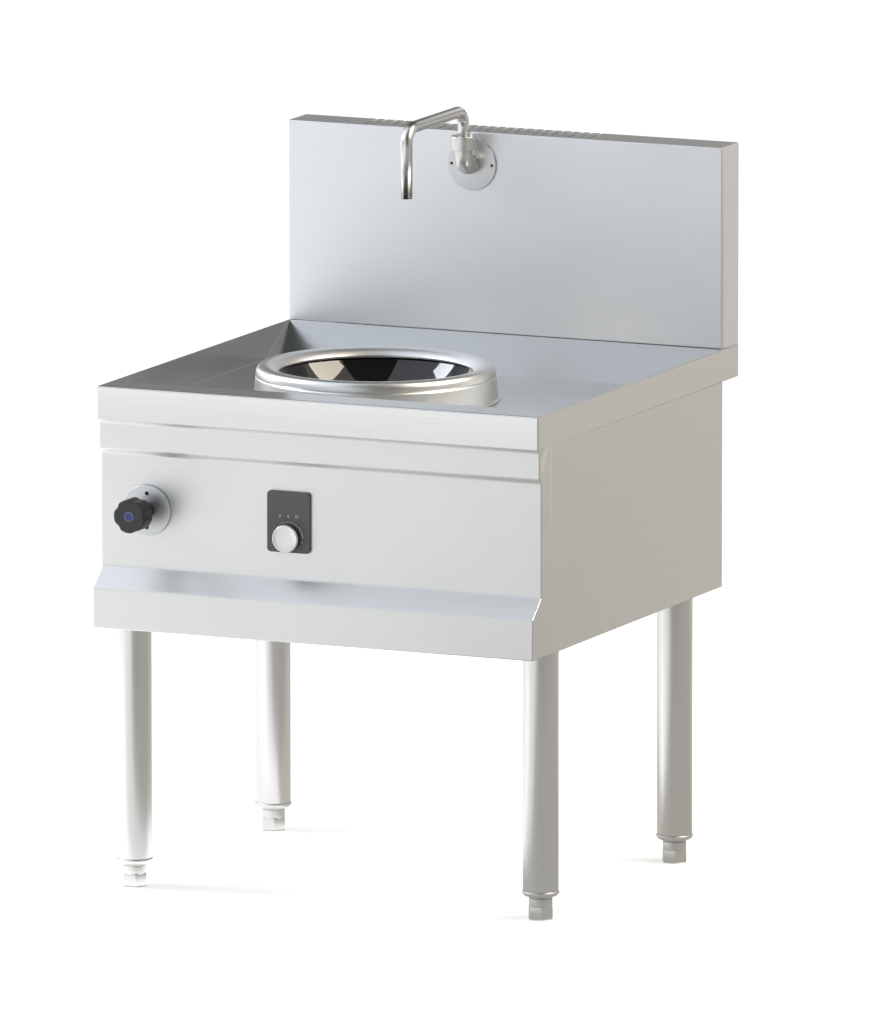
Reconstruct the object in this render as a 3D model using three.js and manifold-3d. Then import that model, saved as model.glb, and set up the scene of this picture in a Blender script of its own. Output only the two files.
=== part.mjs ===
// A free-standing induction wok range on four tubular legs: a stainless cabinet with a deep tray,
// one wok well, a splashback with a swivelling water tap, a water valve and a power control.
// Millimetres, +Z up. The working frame has X = 0 at mid width, Y = 0 on the worktop's front
// face and Z = 0 on the floor. The finished group is then centred on its footprint.
import * as THREE from 'three';
import { mergeVertices } from 'three/addons/utils/BufferGeometryUtils.js';
import Module from 'manifold-3d';

// ---------------------------------------------------------------- driving dimensions
// Whole range
const rangeWidth = 800;
const rangeDepth = 840;
const worktopHeight = 854;
const sheet = 1.5;
const gap = 0.3;

// Worktop tray
const rimHeight = 55;
const frontLedge = 65;
const traySlopeRun = 100;
const deckSlotFront = 20;
const deckSlotDepth = 40;

// Splashback
const splashHeight = 342;
const splashDepth = 70;
const splashInset = 1;
const ventCount = 25;
const ventPitch = 17.2;
const ventWidth = 5;
const ventLength = 57;
const ventRearDrop = 4.5;

// Cabinet
const bodyInset = 1;
const bodyBottom = 450;
const bodyBack = 773;
const cheekDepth = 54;
const bottomReturn = 40;
const bandSetback = 7.4;
const bandLip = 6;
const bandHeight = 50;
const panelSetback = 15.7;
const kickProjection = 19.8;
const kickHeight = 68;
const kickSlopeHeight = 32;
const sideFlange = 15;

// Base frame of square tube
const railSize = 30;
const railWall = 2;
const sideRailFront = 46;
const sideRailRearMargin = 12;

// Legs
const legInset = 30;
const frontLegY = 79.5;
const rearLegY = 640.3;
const legRadius = 29.75;
const legWall = 1.5;
const insertBeadRadius = 31.25;
const insertBeadHeight = 4;
const insertDishHeight = 8;
const insertPlugLength = 27;
const socketLength = 45;
const studRadius = 6;
const studNutRadius = 10;
const studNutHeight = 10;
const footHexFlats = 38;
const footHexHeight = 22;
const footCollarRadius = 19.7;
const footCollarHeight = 13.7;
const footStemRadius = 8;
const footStemLength = 60;

// Wok well: ring, bowl and what holds them. Radii from the well's axis, heights above the tray
const wellX = -58;
const wellY = 370;
const floorHoleRadius = 174;
const ringFootRadius = 208.5;
const ringBaseRadius = 204.5;
const ringGrooveRadius = 201.5;
const ringGrooveHeight = 38.5;
const ringTopRadius = 183;
const ringHeight = 58.5;
const ringMouthRadius = 163;
const ringMouthDrop = 16;
const ringWall = 3;
const bowlMouthRadius = 168;
const bowlDepth = 104;
const bowlWall = 6;
const bowlFlangeRadius = 193;
const sealHeight = 2.5;
const supportWall = 3;

// Induction coil under the bowl. Angles from straight down at the bowl's centre
const coilGap = 4;
const coilThickness = 6;
const carrierGap = 2;
const coilInnerAngle = 8;
const coilOuterAngle = 42;
const carrierThickness = 3;
const carrierOuterAngle = 46;
const carrierFlangeRadius = 206;
const sensorRadius = 8;
const sensorLength = 34;

// Generator case, board, heat sink and fan, all under the well
const caseWidth = 300;
const caseDepth = 300;
const caseHeight = 120;
const boardSize = 240;
const boardThickness = 2;
const boardDrop = 26;
const capacitorRadius = 12;
const capacitorHeight = 18;
const sinkWidth = 160;
const sinkDepth = 110;
const sinkBase = 6;
const finCount = 9;
const finHeight = 34;
const finThickness = 2;
const fanSize = 120;
const fanHeight = 25;
const fanBoreRadius = 57;
const fanHubRadius = 20;
const fanPlate = 3;
const fanPinRadius = 3;
const spokeCount = 3;
const bladeCount = 7;
const bladeChord = 24;
const bladeTilt = 38;
const bladeThickness = 2;
const intakeCount = 9;
const intakePitch = 11;
const intakeWidth = 5;
const intakeLength = 96;

// Mains connection on the back panel
const mainsFromSide = 150;
const mainsZ = 520;
const terminalWidth = 60;
const terminalDepth = 24;
const terminalHeight = 20;
const terminalCount = 5;
const terminalScrewRadius = 3;
const terminalBelowGland = 8;
const glandNutFlats = 30;
const glandNutLength = 12;
const glandThreadRadius = 12;
const glandThreadLength = 14;
const glandBoreRadius = 7;

// Power control on the panel face. Heights and depths from the knob's axis and the panel face
const controlX = -56;
const controlZ = 620.5;
const plateWidth = 77.6;
const plateHeight = 102.5;
const plateRise = 26.1;
const plateCorner = 6.5;
const plateThickness = 5;
const potRadius = 12;
const potLength = 18;
const bushingRadius = 4.5;
const potShaftRadius = 3;
const potShaftInset = 13;
const knobSkirtRadius = 20;
const knobSkirtDepth = 9;
const knobCapRadius = 23;
const knobCapThickness = 6;
const knobDish = 1.8;

// Water valve on the panel face
const valveFromSide = 86.5;
const valveZ = 649;
const valveFlangeRadius = 42.5;
const valveFlangeThickness = 5;
const valveScrewOffset = 28.5;
const valveScrewRadius = 3;
const valveShankRadius = 2;
const valvePlateRadius = 36;
const valvePlateThickness = 6;
const bonnetRadius = 9;
const bonnetLength = 22;
const barrelRadius = 18;
const barrelLength = 44;
const portRadius = 11;
const portLength = 35;
const portDepth = 38;
const spindleRadius = 5;
const spindleInset = 28;
const wheelRadius = 28.4;
const wheelFront = 76.7;
const wheelDepth = 35;
const wheelEdge = 3;
const fluteCount = 5;
const fluteRadius = 14;
const fluteDepth = 2.6;
const firstFlute = 140;
const wheelHubRadius = 15;
const wheelHubLength = 5;
const buttonRadius = 8;
const buttonRecess = 3;
const buttonProud = 0.8;

// Tap on the splashback. Heights from the flange's axis
const tapX = -58.4;
const tapZ = 1140.6;
const tapFlangeRadius = 44.25;
const tapFlangeThickness = 3;
const tapScrewOffset = 37;
const tapScrewRadius = 2.5;
const elbowRadius = 15;
const elbowBend = 20;
const elbowTailRadius = 12;
const elbowTailLength = 25;
const swivelReach = 37;
const nutBottom = 30.4;
const nutHeight = 23;
const nutRadius = 20.8;
const nutRecessRadius = 17;
const nutRecessDepth = 3;
const nutSocketDepth = 5.6;
const spoutRadius = 10;
const spoutWall = 1.5;
const spoutBend = 28;
const spoutReach = 236;
const spoutArmHeight = 96.4;
const spoutDrop = 117;

// Water pipes behind the panels
const pipeRadius = 7;
const pipeBend = 18;
const pipeRunHeight = 740;
const pipeCrossHeight = 822;
const pipeClimbY = 735;
const riserRearMargin = 22;
const inletRunHeight = 560;
const inletStub = 27;
const inletNutFlats = 26;
const inletNutLength = 12;

// Number of flat facets round a turned piece, by its size
const fineSides = 40;
const middleSides = 24;
const smallSides = 16;
const pipeSides = 10;
const bendSteps = 5;
const pipeBendSteps = 3;
const bowlSteps = 6;
const coilSteps = 3;
const carrierSteps = 4;

// ---------------------------------------------------------------- worked-out places
const halfWidth = rangeWidth / 2;
const halfBody = halfWidth - bodyInset;
const halfInside = halfBody - sheet;
const rimBottom = worktopHeight - rimHeight;
const trayFloor = rimBottom + sheet;
const splashFront = rangeDepth - splashDepth;
const splashTop = worktopHeight + splashHeight;
const slopeFoot = splashFront - traySlopeRun;
const bodyTop = rimBottom - gap;
const bodyFloor = bodyBottom + sheet;
const legX = halfWidth - legInset;
const mainsX = halfWidth - mainsFromSide;
const valveX = valveFromSide - halfWidth;
const footTop = footHexHeight + footCollarHeight;
const insertBottom = footTop + gap;
const tubeBottom = insertBottom + insertDishHeight + insertBeadHeight + gap;
const overlapLength = 10;

// ---------------------------------------------------------------- solids
const wasm = await Module();
wasm.setup();

// Welds the corners of a geometry and drops triangles that the weld has closed up.
function weld(geometry) {
  const bare = geometry.clone();
  bare.deleteAttribute('normal');
  bare.deleteAttribute('uv');
  const merged = mergeVertices(bare);
  const corners = merged.index.array;
  const kept = [];
  for (let i = 0; i < corners.length; i += 3) {
    const [a, b, c] = corners.slice(i, i + 3);
    if (a !== b && b !== c && c !== a) {
      kept.push(a, b, c);
    }
  }
  merged.setIndex(kept);
  return merged;
}

function toSolid(geometry) {
  const welded = weld(geometry);
  return new wasm.Manifold(new wasm.Mesh({
    numProp: 3,
    vertProperties: new Float32Array(welded.attributes.position.array),
    triVerts: new Uint32Array(welded.index.array),
  }));
}

function toGeometry(solid) {
  const mesh = solid.getMesh();
  const geometry = new THREE.BufferGeometry();
  geometry.setAttribute('position', new THREE.BufferAttribute(mesh.vertProperties, mesh.numProp));
  geometry.setIndex(new THREE.BufferAttribute(mesh.triVerts, 1));
  return geometry;
}

function cut(blank, tools) {
  return toGeometry(tools.reduce((solid, tool) => solid.subtract(toSolid(tool)), toSolid(blank)));
}

function join(pieces) {
  return toGeometry(pieces.map(toSolid).reduce((solid, piece) => solid.add(piece)));
}

// ---------------------------------------------------------------- shapes
function block([x0, x1], [y0, y1], [z0, z1]) {
  const geometry = new THREE.BoxGeometry(x1 - x0, y1 - y0, z1 - z0);
  return geometry.translate((x0 + x1) / 2, (y0 + y1) / 2, (z0 + z1) / 2);
}

function outline(points) {
  return new THREE.Shape(points.map(([x, y]) => new THREE.Vector2(x, y)));
}

// A YZ outline run along X between two places.
function prismX(points, [x0, x1]) {
  const geometry = new THREE.ExtrudeGeometry(outline(points), { depth: x1 - x0, bevelEnabled: false });
  const along = new THREE.Matrix4().makeBasis(
    new THREE.Vector3(0, 1, 0), new THREE.Vector3(0, 0, 1), new THREE.Vector3(1, 0, 0));
  return geometry.applyMatrix4(along).translate(x0, 0, 0);
}

// An XZ outline run along Y between two places.
function prismY(shape, [y0, y1]) {
  const geometry = new THREE.ExtrudeGeometry(shape, {
    depth: y1 - y0, bevelEnabled: false, curveSegments: 3,
  });
  return geometry.rotateX(Math.PI / 2).translate(0, y1, 0);
}

// A profile of [radius, height] points turned about Z. It runs counter-clockwise, seen with
// the radius to the right and the height up.
function turned(profile, sides) {
  const points = profile.map(([radius, height]) => new THREE.Vector2(radius, height));
  return new THREE.LatheGeometry(points, sides).rotateX(Math.PI / 2);
}

// The same, closed on itself: a ring with a hole through it.
function turnedRing(profile, sides) {
  return turned([...profile, profile[0]], sides);
}

// Turned pieces on the front stand out towards the cook: their heights run along -Y.
function faceForward(geometry) {
  return geometry.rotateX(Math.PI / 2);
}

function rodZ(radius, [z0, z1], sides = smallSides) {
  return turned([[0, z0], [radius, z0], [radius, z1], [0, z1]], sides);
}

function rodForward(radius, [h0, h1], sides = smallSides) {
  return faceForward(rodZ(radius, [h0, h1], sides));
}

function hexagonZ(flats, [z0, z1]) {
  const corner = flats / 2 / Math.cos(Math.PI / 6);
  return rodZ(corner, [z0, z1], 6).rotateZ(Math.PI / 6);
}

// Points on a circle about [0, centre], with angles in degrees from straight down.
function arc(radius, centre, from, to, steps) {
  return Array.from({ length: steps + 1 }, (_, i) => {
    const angle = THREE.MathUtils.degToRad(from + (to - from) * i / steps);
    return [radius * Math.sin(angle), centre - radius * Math.cos(angle)];
  });
}

// A pipe's centre line: straight runs between points, with a round bend at each inner point.
class BentLine extends THREE.Curve {
  constructor(points, bend, steps) {
    super();
    const corners = points.map((point) => new THREE.Vector3(...point));
    this.stations = [];
    const heading = (i) => corners[i + 1].clone().sub(corners[i]).normalize();
    this.addStation(corners[0], heading(0));
    for (let i = 1; i < corners.length - 1; i += 1) {
      this.addBend(corners[i], heading(i - 1), heading(i), bend, steps);
    }
    this.addStation(corners.at(-1), heading(corners.length - 2));
  }

  addStation(place, heading) {
    this.stations.push({ place: place.clone(), heading: heading.clone() });
  }

  addBend(corner, before, after, bend, steps) {
    const turn = before.angleTo(after);
    const setback = bend * Math.tan(turn / 2);
    const side = after.clone().addScaledVector(before, -after.dot(before)).normalize();
    const start = corner.clone().addScaledVector(before, -setback);
    for (let i = 0; i <= steps; i += 1) {
      const angle = turn * i / steps;
      const place = start.clone()
        .addScaledVector(before, bend * Math.sin(angle))
        .addScaledVector(side, bend * (1 - Math.cos(angle)));
      const heading = before.clone().multiplyScalar(Math.cos(angle))
        .addScaledVector(side, Math.sin(angle));
      this.addStation(place, heading);
    }
  }

  station(u) {
    return this.stations[Math.round(u * (this.stations.length - 1))];
  }

  getPointAt(u, target = new THREE.Vector3()) {
    return target.copy(this.station(u).place);
  }

  getTangentAt(u, target = new THREE.Vector3()) {
    return target.copy(this.station(u).heading);
  }
}

function roundSection(radius, sides) {
  return Array.from({ length: sides }, (_, i) => {
    const angle = 2 * Math.PI * i / sides;
    return new THREE.Vector2(radius * Math.cos(angle), radius * Math.sin(angle));
  });
}

function pipe(points, radius, { bend, steps, sides, bore = 0 }) {
  const line = new BentLine(points, bend, steps);
  const section = new THREE.Shape(roundSection(radius, sides));
  if (bore > 0) {
    section.holes.push(new THREE.Path(roundSection(bore, sides)));
  }
  return new THREE.ExtrudeGeometry(section, {
    steps: line.stations.length - 1, extrudePath: line, bevelEnabled: false,
  });
}

// ---------------------------------------------------------------- finishes
const steel = { color: 0xcfd1d1, roughness: 0.38, metalness: 0.9 };
const brightSteel = { color: 0xdcdedf, roughness: 0.18, metalness: 1 };
const frameSteel = { color: 0x9a9c9c, roughness: 0.5, metalness: 0.8 };
const blackGlass = { color: 0x141516, roughness: 0.06, metalness: 0 };
const blackPlastic = { color: 0x2e2f2e, roughness: 0.5, metalness: 0 };
const greyPlastic = { color: 0x5b5c5b, roughness: 0.45, metalness: 0 };
const silverPlastic = { color: 0xd9dad9, roughness: 0.3, metalness: 0.4 };
const bluePlastic = { color: 0x3a3f8f, roughness: 0.35, metalness: 0 };
const whitePlastic = { color: 0xe4e2da, roughness: 0.55, metalness: 0 };
const brass = { color: 0xb5a05a, roughness: 0.4, metalness: 0.9 };
const copper = { color: 0xa8603a, roughness: 0.45, metalness: 0.8 };
const aluminium = { color: 0xb8babb, roughness: 0.45, metalness: 0.9 };
const silicone = { color: 0x6a6a68, roughness: 0.7, metalness: 0 };
const boardGreen = { color: 0x2f5a3c, roughness: 0.6, metalness: 0 };
const mica = { color: 0xa39a84, roughness: 0.7, metalness: 0 };

function piece(parent, name, geometry, finish, place = [0, 0, 0]) {
  const mesh = new THREE.Mesh(weld(geometry), new THREE.MeshStandardMaterial(finish));
  mesh.name = name;
  mesh.position.set(...place);
  parent.add(mesh);
}

function groupAt(parent, place) {
  const group = new THREE.Group();
  group.position.set(...place);
  parent.add(group);
  return group;
}

// ---------------------------------------------------------------- worktop
// One pressed sheet: a front ledge, thin side rims, a tray with a sloped back, and a rear deck
// that carries the splashback and is open underneath as an air duct.
function addWorktop(range) {
  const inner = [sheet - halfWidth, halfWidth - sheet];
  const above = worktopHeight + overlapLength;
  const below = rimBottom - overlapLength;
  const underside = worktopHeight - sheet;
  const blank = block([-halfWidth, halfWidth], [0, rangeDepth], [rimBottom, worktopHeight]);
  const tray = prismX([
    [frontLedge, above],
    [frontLedge, trayFloor],
    [slopeFoot, trayFloor],
    [splashFront, worktopHeight],
    [splashFront, above],
  ], inner);
  const ledgeHollow = prismX([
    [sheet, below],
    [frontLedge - sheet, below],
    [frontLedge - sheet, underside],
    [sheet, underside],
  ], inner);
  const slope = (worktopHeight - trayFloor) / traySlopeRun;
  const steepness = Math.hypot(1, slope);
  const slopeStart = slopeFoot + (sheet * steepness - sheet) / slope;
  const slopeEnd = slopeStart + (underside - rimBottom) / slope;
  const rearHollow = prismX([
    [slopeStart, below],
    [bodyBack + sheet, below],
    [bodyBack + sheet, trayFloor],
    [rangeDepth - sheet, trayFloor],
    [rangeDepth - sheet, underside],
    [slopeEnd, underside],
    [slopeStart, rimBottom],
  ], inner);
  const wellHole = rodZ(floorHoleRadius, [below, above], fineSides).translate(wellX, wellY, 0);
  const ventSpan = ventCount * ventPitch / 2;
  const deckSlot = block(
    [tapX - ventSpan, tapX + ventSpan],
    [splashFront + deckSlotFront, splashFront + deckSlotFront + deckSlotDepth],
    [underside - overlapLength, above]);
  const geometry = cut(blank, [tray, ledgeHollow, rearHollow, wellHole, deckSlot]);
  piece(range, 'worktop', geometry, steel);
}

// ---------------------------------------------------------------- splashback
// A folded shell, open at the rear. Its top is slotted through to the rear edge, and the cover
// behind stops short of it, so that warm air leaves both ways.
function addSplashback(range) {
  const half = halfWidth - splashInset;
  const foot = worktopHeight + gap;
  const shell = block([-half, half], [splashFront, rangeDepth], [foot, splashTop]);
  const hollow = block(
    [sheet - half, half - sheet],
    [splashFront + sheet, rangeDepth + overlapLength],
    [foot - overlapLength, splashTop - sheet]);
  const vents = Array.from({ length: ventCount }, (_, i) => {
    const centre = tapX + (i - (ventCount - 1) / 2) * ventPitch;
    return block(
      [centre - ventWidth / 2, centre + ventWidth / 2],
      [rangeDepth - ventLength, rangeDepth + overlapLength],
      [splashTop - sheet - gap, splashTop + gap]);
  });
  const through = [-sheet - overlapLength, overlapLength];
  const pipeHole = rodForward(elbowTailRadius + gap, through).translate(tapX, splashFront, tapZ);
  const screwHoles = [-1, 1].map((side) => rodForward(tapScrewRadius + gap, through, pipeSides)
    .translate(tapX + side * tapScrewOffset, splashFront, tapZ));
  const front = cut(shell, [hollow, ...vents, pipeHole, ...screwHoles]);
  piece(range, 'splash_front', front, steel);

  const coverHalf = half - sheet - gap;
  const coverTop = splashTop - ventRearDrop;
  const cover = block([-coverHalf, coverHalf], [rangeDepth - sheet, rangeDepth], [foot, coverTop]);
  piece(range, 'splash_back_cover', cover, steel);
}

// ---------------------------------------------------------------- cabinet panels
// The fascia's front line from the top: a lip, the band, the panel face, a slope and the kick.
function fasciaLine(back) {
  const bandBottom = rimBottom - bandHeight;
  const kickTop = bodyBottom + kickHeight;
  return [
    [bandSetback - bandLip + back, bodyTop],
    [bandSetback + back, bodyTop - bandLip],
    [bandSetback + back, bandBottom],
    [panelSetback + back, bandBottom - panelSetback + bandSetback],
    [panelSetback + back, kickTop + kickSlopeHeight],
    [back - kickProjection, kickTop],
  ];
}

function addFascia(range) {
  const outer = prismX([
    [cheekDepth, bodyTop],
    ...fasciaLine(0),
    [-kickProjection, bodyBottom],
    [cheekDepth, bodyBottom],
  ], [-halfBody, halfBody]);
  const beyond = cheekDepth + overlapLength;
  const innerTop = bodyTop + overlapLength;
  const inner = prismX([
    [beyond, innerTop],
    [bandSetback - bandLip + sheet, innerTop],
    ...fasciaLine(sheet),
    [sheet - kickProjection, bodyFloor],
    [beyond, bodyFloor],
  ], [-halfInside, halfInside]);
  const returnTrim = block(
    [-halfInside, halfInside],
    [bottomReturn, beyond],
    [bodyBottom - overlapLength, bodyFloor + gap]);
  const through = [-sheet - gap, overlapLength];
  const valveHole = rodForward(bonnetRadius + gap, through).translate(valveX, panelSetback, valveZ);
  const shankHoles = [-1, 1].map((side) => rodForward(valveShankRadius + gap, through, pipeSides)
    .translate(valveX, panelSetback, valveZ + side * valveScrewOffset));
  const bushingHole = rodForward(bushingRadius + gap, through)
    .translate(controlX, panelSetback, controlZ);
  const fascia = cut(outer, [inner, returnTrim, valveHole, ...shankHoles, bushingHole]);
  piece(range, 'front_fascia', fascia, steel);
}

function addSidePanel(range, name, side) {
  const inward = [
    [halfBody, bodyBottom],
    [halfBody, bodyTop],
    [halfInside - sideFlange, bodyTop],
    [halfInside - sideFlange, bodyTop - sheet],
    [halfInside, bodyTop - sheet],
    [halfInside, bodyBottom],
  ].map(([x, z]) => [side * x, z]);
  const panel = prismY(outline(inward), [cheekDepth + gap, bodyBack]);
  piece(range, name, panel, steel);
}

function addBackAndBottom(range) {
  const half = halfInside - gap;
  const through = [-bodyBack - overlapLength, overlapLength - bodyBack];
  const glandHole = rodForward(glandThreadRadius + gap, through).translate(mainsX, 0, mainsZ);
  const inletHole = rodForward(pipeRadius + gap, through).translate(valveX, 0, inletRunHeight);
  const back = block([-half, half], [bodyBack - sheet, bodyBack], [bodyBottom, bodyTop - sheet - gap]);
  piece(range, 'back_panel', cut(back, [glandHole, inletHole]), steel);

  const throughFloor = [bodyBottom - overlapLength, bodyFloor + overlapLength];
  const studHoles = legPlaces().map(({ x, y }) => rodZ(studRadius + gap, throughFloor)
    .translate(x, y, 0));
  const intakes = Array.from({ length: intakeCount }, (_, i) => {
    const centre = wellX + (i - (intakeCount - 1) / 2) * intakePitch;
    return block(
      [centre - intakeWidth / 2, centre + intakeWidth / 2],
      [wellY - intakeLength / 2, wellY + intakeLength / 2],
      throughFloor);
  });
  const bottom = block(
    [-half, half], [bottomReturn + gap, bodyBack - sheet - gap], [bodyBottom, bodyFloor]);
  piece(range, 'bottom_panel', cut(bottom, [...studHoles, ...intakes]), steel);
}

// ---------------------------------------------------------------- base frame
const sideRailX = [legX - railSize / 2, legX + railSize / 2];
const railLevel = [bodyFloor + gap, bodyFloor + gap + railSize];

function hollowRail(xRange, yRange, alongX) {
  const inset = ([low, high], along) => (along
    ? [low - overlapLength, high + overlapLength]
    : [low + railWall, high - railWall]);
  const outer = block(xRange, yRange, railLevel);
  const inner = block(inset(xRange, alongX), inset(yRange, !alongX), inset(railLevel, false));
  return [outer, inner];
}

function addFrame(range) {
  const crossHalf = legX - railSize / 2 - gap;
  for (const [name, y] of [['frame_rail_front', frontLegY], ['frame_rail_rear', rearLegY]]) {
    const [outer, inner] = hollowRail(
      [-crossHalf, crossHalf], [y - railSize / 2, y + railSize / 2], true);
    piece(range, name, cut(outer, [inner]), frameSteel);
  }
  const length = [sideRailFront, bodyBack - sideRailRearMargin];
  for (const [name, side] of [['frame_rail_left', -1], ['frame_rail_right', 1]]) {
    const ends = sideRailX.map((x) => side * x).sort((a, b) => a - b);
    const [outer, inner] = hollowRail(ends, length, false);
    const lowerWall = [railLevel[0] - gap, railLevel[0] + railWall + gap];
    const studHoles = [frontLegY, rearLegY].map((y) => rodZ(studRadius + gap, lowerWall)
      .translate(side * legX, y, 0));
    piece(range, name, cut(outer, [inner, ...studHoles]), frameSteel);
  }
}

// ---------------------------------------------------------------- legs
function legPlaces() {
  return [
    { name: 'front_left', x: -legX, y: frontLegY },
    { name: 'front_right', x: legX, y: frontLegY },
    { name: 'rear_left', x: -legX, y: rearLegY },
    { name: 'rear_right', x: legX, y: rearLegY },
  ];
}

function addLeg(range, { name, x, y }) {
  const leg = groupAt(range, [x, y, 0]);
  const tubeTop = bodyBottom - gap;
  const tubeInside = legRadius - legWall;
  const plugRadius = tubeInside - gap;
  const studTop = railLevel[0] + railWall + gap;

  piece(leg, `leg_tube_${name}`, turnedRing([
    [tubeInside, tubeBottom],
    [legRadius, tubeBottom],
    [legRadius, tubeTop],
    [tubeInside, tubeTop],
  ], smallSides), brightSteel);

  piece(leg, `leg_socket_${name}`, turned([
    [0, tubeTop - socketLength],
    [plugRadius, tubeTop - socketLength],
    [plugRadius, tubeTop],
    [studRadius, tubeTop],
    [studRadius, studTop],
    [studNutRadius, studTop],
    [studNutRadius, studTop + studNutHeight],
    [0, studTop + studNutHeight],
  ], smallSides), frameSteel);

  const boreRadius = footStemRadius + gap;
  const beadBottom = insertBottom + insertDishHeight;
  const beadTop = beadBottom + insertBeadHeight;
  piece(leg, `leg_insert_${name}`, turnedRing([
    [boreRadius, insertBottom],
    [footCollarRadius, insertBottom],
    [insertBeadRadius - insertBeadHeight, insertBottom + insertDishHeight / 2],
    [insertBeadRadius, beadBottom],
    [insertBeadRadius, beadTop - insertBeadHeight / 4],
    [legRadius, beadTop],
    [plugRadius, beadTop],
    [plugRadius, beadTop + insertPlugLength],
    [boreRadius, beadTop + insertPlugLength],
  ], smallSides), brightSteel);

  const hexagon = hexagonZ(footHexFlats, [0, footHexHeight]);
  const stem = turned([
    [0, footHexHeight / 2],
    [footStemRadius, footHexHeight / 2],
    [footCollarRadius - gap, footHexHeight - gap],
    [footCollarRadius, footTop],
    [footStemRadius, footTop],
    [footStemRadius, footTop + footStemLength],
    [0, footTop + footStemLength],
  ], smallSides);
  piece(leg, `levelling_foot_${name}`, join([hexagon, stem]), brightSteel);
}

// ---------------------------------------------------------------- wok well
const bowlTop = ringHeight - ringMouthDrop - gap;
const bowlRadius = (bowlMouthRadius ** 2 + bowlDepth ** 2) / (2 * bowlDepth);
const bowlCentre = bowlTop - bowlDepth + bowlRadius;
const bowlOuterRadius = bowlRadius + bowlWall;
const sealTop = bowlTop - bowlWall - gap;
const supportTop = sealTop - sealHeight - gap;

function angleAt(radius, sphere) {
  return THREE.MathUtils.radToDeg(Math.asin(radius / sphere));
}

function addWell(range) {
  const well = groupAt(range, [wellX, wellY, trayFloor]);
  const foot = ringWall;
  piece(well, 'wok_ring', turnedRing([
    [ringFootRadius - foot * 2, gap],
    [ringFootRadius, gap],
    [ringFootRadius, foot / 2],
    [ringBaseRadius, foot * 2],
    [ringGrooveRadius, ringGrooveHeight],
    [ringGrooveRadius - foot / 2, ringGrooveHeight + foot / 2],
    [ringGrooveRadius, ringGrooveHeight + foot],
    [ringGrooveRadius - foot, ringHeight - foot * 2.5],
    [(ringGrooveRadius + ringTopRadius) / 2 + foot, ringHeight - foot / 2],
    [ringTopRadius, ringHeight],
    [(ringTopRadius + ringMouthRadius) / 2, ringHeight - foot],
    [ringMouthRadius, ringHeight - ringMouthDrop + foot],
    [ringMouthRadius, ringHeight - ringMouthDrop],
    [ringMouthRadius + foot, ringHeight - ringMouthDrop],
    [ringTopRadius, ringHeight - foot],
    [ringGrooveRadius - foot * 2.5, ringHeight - foot * 3],
    [ringBaseRadius - foot * 2, foot * 3],
  ], fineSides), brightSteel);

  const flangeAngle = angleAt(bowlMouthRadius, bowlRadius);
  const outerAngle = THREE.MathUtils.radToDeg(
    Math.acos((bowlCentre - bowlTop + bowlWall) / bowlOuterRadius));
  piece(well, 'wok_bowl', turned([
    ...arc(bowlOuterRadius, bowlCentre, 0, outerAngle, bowlSteps),
    [bowlFlangeRadius, bowlTop - bowlWall],
    [bowlFlangeRadius, bowlTop],
    ...arc(bowlRadius, bowlCentre, flangeAngle, 0, bowlSteps),
  ], fineSides), blackGlass);

  piece(well, 'ring_seal', turnedRing([
    [floorHoleRadius + supportWall, sealTop - sealHeight],
    [bowlFlangeRadius, sealTop - sealHeight],
    [bowlFlangeRadius, sealTop],
    [floorHoleRadius + supportWall, sealTop],
  ], middleSides), silicone);

  piece(well, 'bowl_support', turnedRing([
    [floorHoleRadius + supportWall, gap],
    [bowlFlangeRadius, gap],
    [bowlFlangeRadius, gap + supportWall],
    [floorHoleRadius + supportWall * 2, gap + supportWall],
    [floorHoleRadius + supportWall * 2, supportTop - supportWall],
    [bowlFlangeRadius, supportTop - supportWall],
    [bowlFlangeRadius, supportTop],
    [floorHoleRadius + supportWall, supportTop],
  ], middleSides), steel);

  const coilInner = bowlOuterRadius + coilGap;
  const coilOuter = coilInner + coilThickness;
  piece(well, 'induction_coil', turnedRing([
    ...arc(coilOuter, bowlCentre, coilInnerAngle, coilOuterAngle, coilSteps),
    ...arc(coilInner, bowlCentre, coilOuterAngle, coilInnerAngle, coilSteps),
  ], middleSides), copper);

  const dishInner = coilOuter + carrierGap;
  const dishOuter = dishInner + carrierThickness;
  const hubAngle = angleAt(sensorRadius + gap, dishInner);
  const [, shelf] = arc(dishInner, bowlCentre, 0, carrierOuterAngle, 1)[1];
  const underTray = -sheet - gap;
  piece(well, 'coil_carrier', turnedRing([
    ...arc(dishOuter, bowlCentre, hubAngle, carrierOuterAngle, carrierSteps),
    [carrierFlangeRadius, shelf - carrierThickness],
    [carrierFlangeRadius, underTray],
    [carrierFlangeRadius - carrierThickness, underTray],
    [carrierFlangeRadius - carrierThickness, shelf],
    ...arc(dishInner, bowlCentre, carrierOuterAngle, hubAngle, carrierSteps),
  ], middleSides), mica);

  const bowlUnder = bowlCentre - bowlOuterRadius - gap;
  piece(well, 'bowl_sensor', rodZ(sensorRadius, [bowlUnder - sensorLength, bowlUnder]), brass);
}

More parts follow.
